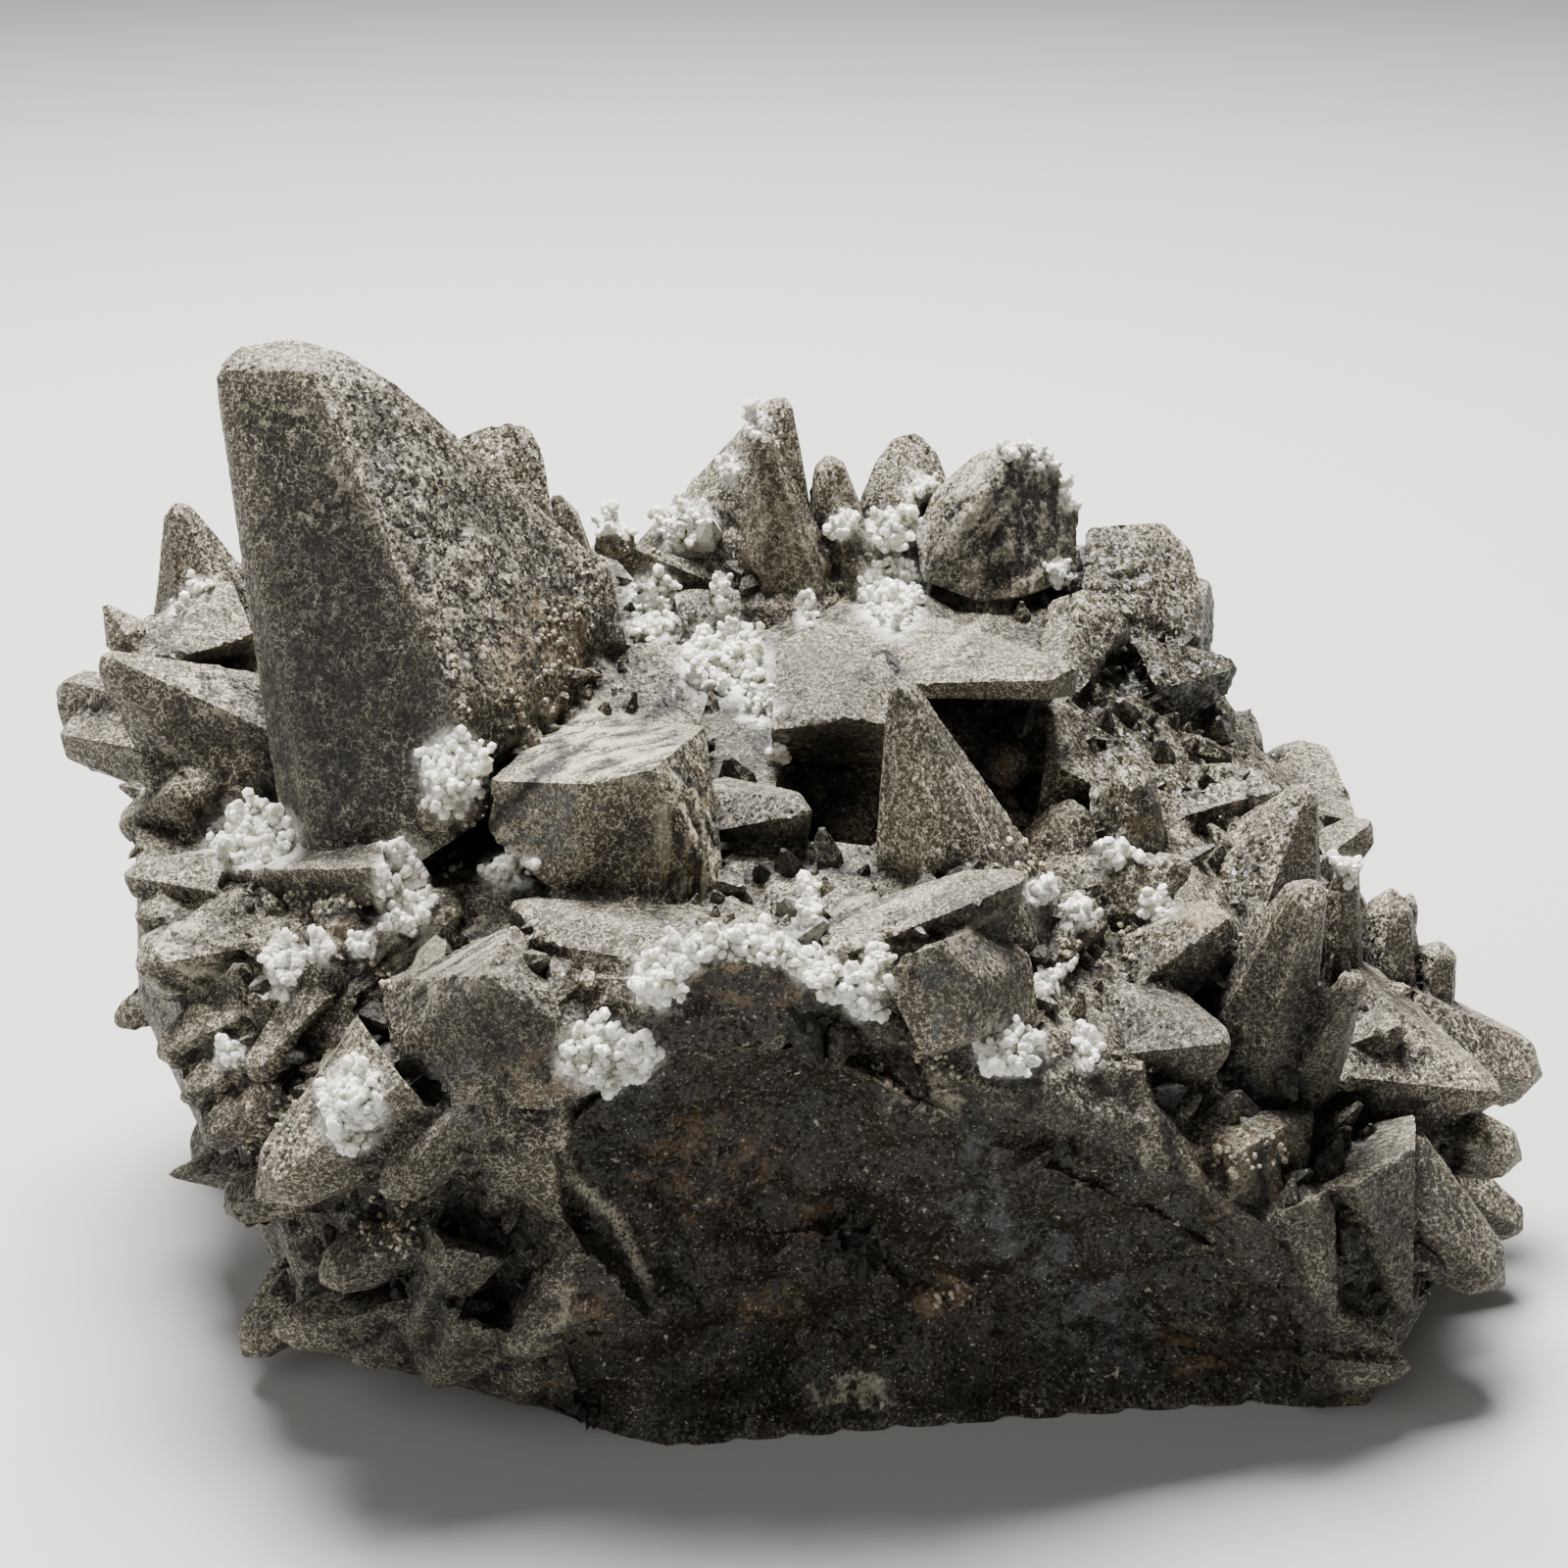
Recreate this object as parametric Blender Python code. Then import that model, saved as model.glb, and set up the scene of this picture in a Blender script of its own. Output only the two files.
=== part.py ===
"""Dogtooth calcite cluster.

A hand-sized broken specimen: a dark matrix block with a rough fracture face in
front, scalenohedral calcite crystals over its top, sides and back, and small
heaps of white sugary calcite among them. Everything grew together, so it is
one solid. Lengths are worked out in millimetres and turned to metres at the end.
"""

import math
import random

import bpy
import bmesh
from mathutils import Matrix, Vector, noise
from mathutils.bvhtree import BVHTree

# Driving dimensions, in millimetres. X runs to the right, Y to the back, Z up.
FOOT_MIDDLE = Vector((8.0, 25.0, 0.0))
MATRIX_EDGE = 10.0
MATRIX_SPLITS = 3
MATRIX_ROUGHNESS = 1.3
BROAD_BUMPS = 9.0
SMALL_BUMPS = 4.0
SMALL_BUMPS_SHARE = 0.5
FOOT_LIMIT = 0.01
LOWEST_EDGE = 0.4
CRYSTAL_SINK = 3.0
CRYSTAL_WAIST = 0.86
TIP_CAP = 0.4
SHOULDER_DROP = 0.24
SHOULDER_WIDTH = 0.54
SHOWN_WIDTH = 1.15
CORNER_SPREAD = (0.94, 1.06)
FLAT_ANGLE = math.radians(0.3)
METRES_PER_MM = 0.001
SEED = 11

# The crystals are placed by a square sighting frame stood up in front of the
# specimen and looked through from above. "Across" and "down" are millimetres
# from the frame's upper left corner.
FRAME_SIDE = 100.0
FRAME_MIDDLE = Vector((0.0, 28.0, 32.5))
SIGHT_TILT = math.radians(25.0)
SIGHT_LENGTH = 166.7
SIGHT_DEPTHS = range(0, 60, 2)

# Corners of the matrix block: x, y, z.
MATRIX_CORNERS = (
    (-17, 8, 0), (-10, 4, 0), (-4, 2.2, 0), (3, 3.2, 0), (10, 5.5, 0), (36, 7, 0), (39, 16, 0),
    (35, 38, 0), (12, 48, 0), (-14, 46, 0), (-24, 28, 0), (-23, 14, 0),
    (-33, 13, 8), (-28, 7, 5), (-20, 4, 6), (40, 10, 6), (43, 26, 8), (38, 44, 10),
    (10, 57, 12), (-20, 55, 12), (-37, 40, 12),
    (-41, 22, 20), (-43, 34, 22), (-37, 50, 22), (-33, 8, 20), (-22, 3, 22), (0, 1.5, 20),
    (30, 4, 14), (40, 14, 14), (43, 28, 14), (40, 46, 18), (14, 59, 24), (-16, 59, 26),
    (-28, 9, 30), (-14, 4, 31), (-8, 1.8, 33), (4, 1.8, 33), (10, 4, 30), (14, 5, 26), (20, 4, 21),
    (-40, 20, 31), (-42, 32, 32), (-35, 50, 34), (-10, 57, 37.5), (10, 57, 38.5), (26, 53, 36),
    (34, 46, 27), (26, 24, 27), (34, 34, 24),
)

# Corners of the hollow behind the front plate: x, y, z.
HOLLOW_CORNERS = (
    (-3, 15, 42), (15, 15, 42), (20, 18, 42), (22, 31, 42), (-1, 28, 42),
    (0, 17, 28), (12, 17, 28), (18, 20, 28), (19, 29, 28), (2, 27, 27),
)

# Corners of the cave under the horizontal blade, at the back of the hollow: x, y, z.
CAVE_CORNERS = (
    (7.5, 25, 38.4), (17, 25, 38.4), (17.5, 33.5, 37.4), (8.5, 35, 37.4),
    (8.5, 25, 28.5), (16, 25, 28.5), (16.5, 32, 30), (9.5, 33.5, 30),
)

# The dished fracture face in front: its rim and its deepest places, as across, down, depth.
FRACTURE_RIM = (
    (35.6, 72.0, 4.5), (40.5, 67.5, 4.5), (44.5, 65.0, 4.5), (50.0, 65.5, 4.5), (54.0, 67.0, 4.5),
    (60.0, 69.8, 5.0), (66.5, 73.8, 5.5), (73.0, 76.6, 6.0), (79.5, 79.5, 6.5), (83.0, 84.0, 7.0),
    (84.0, 91.5, 6.6), (60.0, 92.5, 4.4), (48.0, 94.5, 1.8), (42.0, 94.0, 2.2), (37.0, 91.0, 3.0),
    (39.0, 82.0, 4.0),
)
FRACTURE_DEEPEST = ((46.0, 75.0, 7.5), (58.0, 79.0, 8.0), (70.0, 84.0, 8.5))
FRACTURE_FRONT = -12.0

# Low broken lumps left standing on the fracture face: across, down, radius.
FRACTURE_LUMPS = (
    (45.0, 74.5, 7.0), (40.0, 85.0, 6.0), (52.5, 84.0, 7.0), (62.5, 77.5, 6.0), (67.0, 83.8, 5.6),
    (76.5, 82.5, 5.0), (60.0, 85.2, 4.4),
)
LUMP_THICKNESS = 0.28
LUMP_SUNK = 0.9
LUMP_SPREAD = (0.78, 1.15)
LUMP_TURN_AXIS = (1.0, 1.0, 0.4)

# Broken blocks, each the hull of corners: across, down, depth.
BLOCKS = {
    "great_fang": (
        (17.9, 52.5, 19), (20.5, 55.5, 14.5), (25.5, 55.8, 12.5), (29.8, 53.0, 13), (35.5, 47.5, 20),
        (40.2, 42.0, 27), (37.0, 41.0, 33), (24.0, 46.0, 33), (18.3, 49.0, 26),
        (26.4, 38.5, 17.5), (29.2, 45.0, 14.6), (38.9, 36.3, 29.5), (36.2, 34.4, 28.5),
        (13.9, 25.6, 26.5), (13.8, 23.6, 26), (15.0, 22.2, 27), (18.7, 21.6, 27.5), (21.8, 22.5, 26),
        (19.8, 23.7, 23.5), (25.3, 24.6, 26), (20.5, 24.0, 29.5),
    ),
    "rhomb": (
        (31.3, 49.8, 13), (34.7, 46.6, 19.5), (37.5, 45.6, 21), (45.0, 46.3, 18), (41.6, 49.1, 11),
        (37.5, 50.0, 11), (31.3, 53.2, 12.5), (35.0, 56.6, 10.5), (41.9, 58.6, 9.5), (46.4, 57.8, 11),
        (45.3, 50.0, 15), (45.0, 53.2, 13.5), (42.2, 52.6, 10.5), (38.0, 56.0, 22),
    ),
    "saddle": (
        (34.6, 46.8, 20), (37.5, 43.2, 24), (40.6, 41.0, 28), (43.9, 41.2, 29), (45.3, 43.8, 26),
        (44.6, 46.4, 22), (39.0, 47.5, 19), (36.0, 49.0, 28), (44.0, 48.5, 30),
    ),
    "front_left_block": (
        (24.2, 62.6, 6.5), (32.8, 59.0, 6), (38.6, 64.2, 3), (38.9, 67.4, 1), (35.2, 70.8, 0),
        (29.0, 70.4, 0.8), (25.0, 67.0, 3), (30.8, 62.2, 1.6), (26.0, 61.5, 14), (37.0, 62.5, 12),
        (30.0, 70.0, 12),
    ),
    "front_stub": (
        (56.4, 62.6, 1.2), (57.8, 60.9, 1.6), (60.0, 60.3, 1.8), (62.5, 62.5, 1.2), (61.6, 66.3, 0.2),
        (58.8, 67.2, 0.2), (65.8, 61.0, 7), (66.2, 65.2, 5), (63.0, 58.8, 7), (61.0, 68.0, 6),
        (57.0, 64.0, 9),
    ),
    "front_right_blade": (
        (52.2, 59.7, 4.5), (56.3, 57.2, 7.5), (61.5, 55.5, 9), (65.0, 55.4, 8.6), (53.1, 61.2, 3),
        (61.5, 57.8, 5.5), (65.3, 56.2, 7.4), (64.3, 61.2, 6.6), (61.8, 60.6, 5), (58.0, 62.5, 4),
        (55.0, 60.5, 10), (63.0, 60.0, 12),
    ),
    "dark_slab": (
        (66.6, 68.0, 4), (72.8, 67.6, 5), (73.0, 74.6, 2.5), (68.2, 74.2, 1.6), (66.3, 71.2, 2.2),
        (67.0, 69.5, 11), (73.0, 71.0, 11),
    ),
    "tan_flakes": (
        (75.8, 71.0, 6.5), (83.8, 70.8, 9), (83.2, 78.3, 5.5), (78.2, 77.2, 3.6), (79.0, 73.5, 3.6),
        (77.0, 73.5, 12), (83.0, 75.0, 14),
    ),
    "right_crown": (
        (58.4, 34.0, 50), (59.7, 31.2, 51), (62.3, 28.9, 52), (65.0, 28.2, 52), (67.2, 29.2, 53),
        (68.8, 32.5, 53), (68.6, 36.9, 50), (58.8, 37.0, 48), (62.5, 38.4, 46.5), (65.6, 37.9, 47),
        (63.0, 31.0, 48.5), (62.0, 33.0, 58), (66.5, 33.0, 59), (63.0, 39.0, 56),
    ),
    "back_right_block": (
        (69.3, 33.7, 54), (74.1, 33.3, 55), (75.9, 35.0, 54), (76.6, 37.6, 52), (76.6, 41.4, 50),
        (69.0, 38.5, 48), (70.0, 43.0, 44), (75.0, 45.0, 44), (70.0, 36.0, 60), (75.5, 37.0, 60),
        (73.0, 42.0, 56),
    ),
    "back_left_blunt": (
        (29.1, 28.0, 48), (31.5, 27.1, 48.5), (33.0, 26.9, 48.5), (33.9, 27.5, 49), (34.6, 29.0, 48),
        (35.3, 33.0, 46), (35.8, 38.5, 44.5), (28.0, 38.5, 44), (30.5, 33.0, 44.5), (31.0, 30.0, 53),
        (35.0, 37.0, 54), (28.0, 37.0, 54),
    ),
    "back_round": (
        (54.8, 32.0, 54), (55.8, 29.5, 55), (57.0, 27.9, 56), (58.5, 27.6, 56.5), (59.7, 28.8, 56),
        (60.6, 31.0, 55), (60.8, 36.0, 52), (54.2, 37.5, 50), (57.8, 33.0, 51.5), (57.0, 39.0, 49),
        (60.0, 39.0, 49), (57.0, 31.0, 62), (59.5, 32.0, 62), (55.5, 37.0, 61),
    ),
    "visor": (
        (49.6, 41.2, 29), (51.9, 39.6, 32), (55.6, 40.2, 32), (57.0, 43.0, 27), (49.2, 46.6, 22),
        (53.4, 45.5, 21.5), (54.4, 45.9, 21), (56.4, 46.2, 22), (53.0, 42.0, 27.5), (49.2, 48.5, 25),
        (56.6, 48.5, 26), (53.0, 49.5, 32),
    ),
    "horizontal_blade": (
        (55.0, 40.2, 34), (60.0, 39.4, 36), (65.6, 41.8, 30), (68.8, 42.4, 27), (67.0, 43.4, 26),
        (61.3, 43.5, 26), (57.6, 43.6, 26), (62.0, 41.4, 29.5), (57.6, 44.5, 26.2), (61.3, 44.5, 26.2),
        (67.0, 44.6, 26.2), (57.0, 44.4, 39), (66.0, 44.8, 40), (68.6, 44.2, 29),
    ),
    "left_ridge": (
        (6.8, 40.7, 38), (9.6, 39.8, 39), (14.8, 37.0, 42), (16.2, 40.6, 38), (11.0, 42.0, 35),
        (8.0, 42.2, 36), (12.0, 43.0, 44), (17.0, 43.0, 44),
    ),
}

# Flat plates: thickness, then the top's corners as across, down, depth.
PLATES = {
    "front_plate": (2.6, (
        (32.4, 57.5, 8.5), (35.0, 60.2, 5), (37.5, 62.6, 3.4), (40.0, 65.0, 1.6), (42.4, 64.4, 1.0),
        (44.5, 61.9, 0.9), (47.5, 61.2, 0.8), (50.0, 62.2, 0.8), (53.1, 64.0, 1.0), (55.4, 63.8, 1.6),
        (55.2, 56.2, 13.5), (46.6, 56.2, 14), (38.0, 56.6, 13),
    )),
    "left_ledge": (2.2, (
        (10.2, 57.6, 20), (10.8, 55.6, 21), (18.0, 55.5, 13.5), (24.4, 55.4, 9), (24.5, 52.5, 16),
        (12.5, 52.5, 28),
    )),
}

# Crystals that show from in front: tip across and down, foot across and down,
# lean (how much further back the tip is than the foot), width.
CRYSTALS = {
    "centre_peak": (48.5, 27.6, 50.2, 38.4, -1, 8.4),
    "back_peak": (50.0, 25.2, 47.2, 36.0, 2, 14.0),
    "great_pyramid": (57.3, 43.2, 60.6, 57.4, 0.6, 10.6),
    "back_left_small": (35.4, 31.2, 36.8, 38.6, 0, 4.5),
    "left_back": (11.2, 31.9, 13.2, 41.0, 1, 11.5),
    "left_brown": (6.5, 38.3, 8.6, 42.0, 1, 5.0),
    "left_horn": (6.3, 41.8, 17.2, 49.2, -3, 14.0),
    "left_lump_top": (3.5, 43.9, 9.5, 45.2, 4, 7.0),
    "left_lump_low": (3.8, 46.8, 9.5, 47.4, 3, 6.0),
    "left_second": (7.6, 53.0, 11.0, 51.8, 1, 4.6),
    "left_side_a": (7.8, 55.8, 11.0, 56.4, 0, 4.0),
    "left_side_b": (8.5, 58.6, 11.4, 58.4, -1, 4.0),
    "left_striated": (8.6, 61.7, 12.6, 61.0, -2, 6.5),
    "left_side_c": (9.9, 67.4, 13.0, 66.0, -1, 4.5),
    "left_side_d": (11.5, 70.2, 14.4, 68.6, -1, 4.0),
    "left_side_e": (12.8, 72.9, 15.6, 71.0, -1, 4.0),
    "left_dark_tooth": (14.2, 77.3, 17.4, 75.6, -1, 5.0),
    "left_tooth_a": (16.2, 76.6, 23.4, 70.8, -3, 8.0),
    "left_tooth_b": (24.5, 76.5, 28.0, 72.2, -3, 5.5),
    "left_small": (15.8, 68.9, 18.2, 66.4, -2, 3.5),
    "bottom_left_spike": (17.2, 84.9, 23.2, 83.8, -1, 5.0),
    "bottom_left_tooth": (20.2, 81.8, 24.6, 79.4, -2, 5.0),
    "bottom_left_stub": (22.4, 87.0, 25.8, 84.4, -1, 4.4),
    "foot_lump": (27.4, 88.6, 29.0, 85.4, -1, 6.0),
    "column": (26.2, 86.2, 28.6, 81.0, -1, 5.0),
    "shell_lump": (31.9, 86.4, 36.0, 82.6, -2, 6.0),
    "brown_blade": (38.7, 34.5, 44.6, 38.0, -2, 4.6),
    "small_slab": (50.9, 38.6, 46.6, 40.0, 0, 4.6),
    "tiny_blade": (42.1, 40.9, 45.4, 43.8, -2, 2.6),
    "hollow_tooth": (51.8, 51.8, 47.6, 52.6, -3, 5.0),
    "hollow_pebble": (55.0, 51.0, 54.0, 53.6, 0, 5.0),
    "brown_stub": (67.0, 45.4, 68.6, 41.6, -6, 5.5),
    "back_small": (52.8, 28.9, 53.9, 37.2, 1, 6.5),
    "right_back": (79.0, 42.6, 75.2, 43.6, 1, 6.0),
    "grey_pyramid": (68.3, 50.9, 67.8, 55.6, 0, 8.0),
    "brown_tooth": (72.4, 48.7, 71.8, 53.2, 0, 5.0),
    "tan_blunt": (73.6, 52.9, 78.0, 52.2, -3, 5.0),
    "tan_slab": (76.0, 54.9, 71.2, 57.4, -1, 5.6),
    "tall_tooth": (83.5, 50.0, 80.4, 56.6, 0, 9.0),
    "brown_lump": (87.5, 52.4, 84.2, 55.0, 2, 4.6),
    "knob_tooth": (86.0, 54.8, 84.9, 62.0, 0, 4.0),
    "mid_tooth": (83.7, 56.1, 79.6, 67.2, -3, 8.0),
    "tan_tooth": (78.6, 58.4, 74.2, 61.6, -2, 6.6),
    "right_tooth_a": (86.7, 62.2, 82.2, 69.4, -4, 5.2),
    "right_tooth_b": (88.8, 56.5, 88.0, 62.6, 1, 5.6),
    "right_spike": (90.1, 56.8, 89.8, 60.6, 1, 2.6),
    "right_finger_a": (90.1, 63.1, 86.6, 64.0, -1, 3.0),
    "right_wedge": (89.6, 65.3, 85.0, 67.0, -2, 5.0),
    "right_finger_b": (86.7, 69.1, 83.4, 69.2, -1, 3.0),
    "right_tooth_c": (78.5, 66.5, 74.6, 66.9, -3, 6.4),
    "big_right_pyramid": (95.9, 69.7, 89.0, 69.0, -3, 10.5),
    "right_knob": (91.9, 59.9, 91.4, 65.0, 1, 4.2),
    "right_lump": (98.4, 68.6, 93.6, 67.0, 1, 8.0),
    "right_dark": (97.2, 73.9, 93.0, 72.0, 0, 6.0),
    "wet_tooth": (97.2, 78.5, 92.4, 74.8, -1, 6.0),
    "lower_right_tooth": (96.0, 82.1, 90.2, 77.6, -2, 8.0),
    "down_tooth": (89.6, 83.9, 86.8, 76.6, -2, 7.0),
    "right_low_spike": (85.2, 85.2, 83.4, 79.6, -2, 3.0),
    "right_low_small": (89.1, 86.2, 86.6, 84.6, -1, 3.4),
    "right_low_tip": (90.1, 87.2, 85.8, 86.8, -1, 3.6),
    "tiny_dark": (67.2, 61.6, 67.8, 60.2, -3, 3.0),
}

# How much wider or flatter than a sharp even tooth some crystals are:
# bluntness of the tip, thickness over width, turn about the axis in degrees.
CRYSTAL_SHAPES = {
    "left_lump_top": (0.6, 0.9, 20), "left_lump_low": (0.6, 0.9, 0),
    "left_second": (0.5, 0.9, 20), "left_back": (0.16, 0.8, 10), "foot_lump": (0.6, 1.0, 0),
    "column": (0.5, 1.0, 10), "shell_lump": (0.45, 0.8, 20), "brown_blade": (0.2, 0.6, 30),
    "small_slab": (0.5, 0.6, 30),
    "tiny_blade": (0.3, 0.5, 30), "hollow_pebble": (0.6, 0.9, 0), "brown_stub": (0.65, 0.9, 15),
    "back_peak": (0.14, 0.75, 15), "centre_peak": (0.18, 0.9, -20),
    "right_back": (0.5, 0.9, 0), "tan_blunt": (0.55, 0.8, 20), "tan_slab": (0.3, 0.7, 30),
    "brown_lump": (0.6, 1.0, 0), "right_knob": (0.6, 1.0, 0), "right_lump": (0.62, 0.9, 10),
    "right_dark": (0.6, 0.9, 0), "knob_tooth": (0.35, 1.0, 0), "great_pyramid": (0.14, 1.0, -12),
    "right_finger_a": (0.35, 0.9, 0), "right_finger_b": (0.35, 0.9, 0), "back_small": (0.3, 0.9, 0),
    "wet_tooth": (0.45, 0.9, 0), "mid_tooth": (0.3, 1.0, 15), "left_horn": (0.12, 0.9, 20),
    "right_low_spike": (0.14, 0.8, 20), "down_tooth": (0.2, 1.0, 0),
    "brown_tooth": (0.5, 1.0, 0), "grey_pyramid": (0.3, 1.0, 10), "tall_tooth": (0.2, 1.0, 10),
    "big_right_pyramid": (0.16, 1.0, 0), "right_tooth_a": (0.25, 1.0, 0),
    "right_tooth_c": (0.25, 1.0, 0),
}

# Crystals that stand nearer than the surface behind them: how far back their feet are.
NEARER_FEET = {"great_pyramid": 14.0}
NEARER_SINK = 7.0

# Round brown lumps, on the left and one in the cave: across, down, radius.
BROWN_LUMPS = (
    (22.2, 59.2, 2.3), (28.0, 58.2, 2.0), (27.9, 52.0, 1.3), (24.6, 60.0, 1.9), (12.6, 50.4, 1.8),
    (10.2, 49.6, 1.6), (64.4, 48.6, 2.1),
)

# Heaps of white sugary calcite: across, down, radius.
SUGAR_HEAPS = (
    (39.7, 33.4, 1.7), (43.8, 33.8, 1.6), (41.6, 37.8, 1.4), (41.6, 40.0, 1.3), (46.4, 42.2, 2.4),
    (46.1, 38.0, 1.1), (51.4, 39.0, 1.0), (48.4, 45.2, 1.0), (53.6, 33.6, 1.1), (57.0, 34.2, 1.5),
    (57.0, 38.2, 1.8), (28.9, 49.6, 1.9), (16.3, 53.4, 2.1), (26.0, 57.0, 1.9), (32.6, 55.4, 1.2),
    (18.0, 61.6, 1.2), (21.2, 60.4, 1.3), (42.0, 62.6, 1.4), (44.6, 60.5, 1.5), (47.2, 60.1, 1.6),
    (49.8, 60.9, 1.6), (52.3, 62.2, 1.5), (54.6, 63.0, 1.4), (51.8, 58.4, 1.0), (36.6, 68.6, 1.6),
    (39.4, 66.4, 1.4), (64.0, 67.3, 1.5), (66.4, 57.0, 1.0), (68.8, 58.6, 1.0), (71.4, 54.5, 1.0),
    (73.9, 57.8, 1.0), (22.8, 70.2, 1.4), (86.0, 55.4, 1.0), (67.6, 36.6, 1.1),
)

# Crystals out of sight from in front: how many, how long, how wide for their
# length, how far apart, how far they lean, and where they may not stand.
SCATTERED = 46
SCATTER_TRIES = 2000
SCATTER_LENGTH = (5.0, 10.5)
SCATTER_SLENDERNESS = (0.75, 1.05)
SCATTER_BLUNTNESS = (None, None, 0.14, 0.3)
SCATTER_THICKNESS = (0.75, 1.0)
SCATTER_TURN = (0.0, 60.0)
SCATTER_SPACING = 6.2
SCATTER_SIDE_LEAN = (-0.4, 0.4)
SCATTER_RISE = (-0.2, 0.5)
SCATTER_HIDDEN = 0.35
SCATTER_SHORTEST = 0.3
SCATTER_LOWEST = 5.0
SCATTER_REACH = (-45.0, 45.0)
LOWEST_TIP = 1.2


def sight_line(across, down):
    """The eye, and the direction from it through a point of the sighting frame."""
    right = Vector((1.0, 0.0, 0.0))
    up = Vector((0.0, math.sin(SIGHT_TILT), math.cos(SIGHT_TILT)))
    away = Vector((0.0, math.cos(SIGHT_TILT), -math.sin(SIGHT_TILT)))
    eye = FRAME_MIDDLE - away * SIGHT_LENGTH
    half = FRAME_SIDE / 2
    target = FRAME_MIDDLE + right * (across - half) + up * (half - down)
    return eye, (target - eye).normalized()


def at_depth(across, down, depth):
    """The point of a sight line that lies this far back."""
    eye, ray = sight_line(across, down)
    return eye + ray * ((depth - eye.y) / ray.y)


def planted(surface, across, down):
    """Where a sight line meets a surface, or the surface point nearest to a line that misses."""
    eye, ray = sight_line(across, down)
    hit = surface.ray_cast(eye, ray)[0]
    if hit is None:
        passed = [at_depth(across, down, depth) for depth in SIGHT_DEPTHS]
        nearby = [surface.find_nearest(point) for point in passed]
        hit = min(nearby, key=lambda found: found[3])[0]
    return hit


def hull(points):
    """A closed convex solid round some points."""
    bm = bmesh.new()
    for point in points:
        bm.verts.new(point)
    made = bmesh.ops.convex_hull(bm, input=bm.verts[:])
    bmesh.ops.delete(bm, geom=made["geom_interior"], context="VERTS")
    bmesh.ops.recalc_face_normals(bm, faces=bm.faces[:])
    return bm


def solid_object(name, bm):
    """An object made from a working mesh, which it uses up."""
    bmesh.ops.triangulate(bm, faces=bm.faces[:])
    mesh = bpy.data.meshes.new(name)
    bm.to_mesh(mesh)
    bm.free()
    thing = bpy.data.objects.new(name, mesh)
    bpy.context.scene.collection.objects.link(thing)
    return thing


def matrix_block():
    """The broken block that the crystals stand on, flat underneath."""
    bm = hull(MATRIX_CORNERS)
    for split in range(MATRIX_SPLITS):
        long_edges = [e for e in bm.edges if e.calc_length() > MATRIX_EDGE]
        bmesh.ops.subdivide_edges(bm, edges=long_edges, cuts=1)
        bmesh.ops.triangulate(bm, faces=bm.faces[:])
    bm.normal_update()
    for vert in bm.verts:
        if vert.co.z > FOOT_LIMIT:
            broad = noise.noise(vert.co / BROAD_BUMPS)
            small = noise.noise(vert.co / SMALL_BUMPS)
            vert.co += vert.normal * (broad + SMALL_BUMPS_SHARE * small) * MATRIX_ROUGHNESS
            vert.co.z = max(vert.co.z, LOWEST_EDGE)
    return bm


def crystal(tip, foot, width, bluntness, thickness, turn, facing, rng, sink=CRYSTAL_SINK):
    """A six-sided tapering crystal, with one ridge turned to where it faces.

    Its sides run up to a shoulder, from which short faces meet in the tip. A
    crystal with a bluntness of its own has its shoulder nearer the tip.
    """
    length = (tip - foot).length
    axis = (tip - foot) / length
    front = (facing - axis * facing.dot(axis)).normalized()
    side = axis.cross(front)
    drop, narrow = length * SHOULDER_DROP, SHOULDER_WIDTH
    if bluntness:
        drop, narrow = width * bluntness * TIP_CAP, bluntness
    taper = (1.0 - narrow) / (length - drop)
    below = foot - axis * sink
    bm = bmesh.new()
    rings = []
    shoulder = tip - axis * drop
    for centre, size in ((below, 1.0 + taper * sink), (shoulder, narrow)):
        ring = []
        for corner in range(6):
            angle = math.radians(60 * corner + turn)
            waist = 1.0 if corner % 2 == 0 else CRYSTAL_WAIST
            radius = width / 2 * size * waist * SHOWN_WIDTH
            offset = front * math.cos(angle) * thickness + side * math.sin(angle)
            ring.append(bm.verts.new(centre + offset * radius * rng.uniform(*CORNER_SPREAD)))
        rings.append(ring)
    low, high = rings
    point = bm.verts.new(tip)
    for corner in range(6):
        after = (corner + 1) % 6
        bm.faces.new((low[corner], low[after], high[after], high[corner]))
        bm.faces.new((high[corner], high[after], point))
    bm.faces.new(low[::-1])
    bmesh.ops.recalc_face_normals(bm, faces=bm.faces[:])
    return bm


def seen_crystals(surface, rng):
    """The crystals that show from in front."""
    made = []
    for name, (tip_across, tip_down, foot_across, foot_down, lean, width) in CRYSTALS.items():
        bluntness, thickness, turn = CRYSTAL_SHAPES.get(name, (None, 1.0, 0))
        foot = planted(surface, foot_across, foot_down)
        sink = CRYSTAL_SINK
        if name in NEARER_FEET:
            foot = at_depth(foot_across, foot_down, NEARER_FEET[name])
            sink = NEARER_SINK
        tip = at_depth(tip_across, tip_down, foot.y + lean)
        facing = -sight_line(foot_across, foot_down)[1]
        bm = crystal(tip, foot, width, bluntness, thickness, turn, facing, rng, sink)
        made.append(solid_object(name, bm))
    return made


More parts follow.
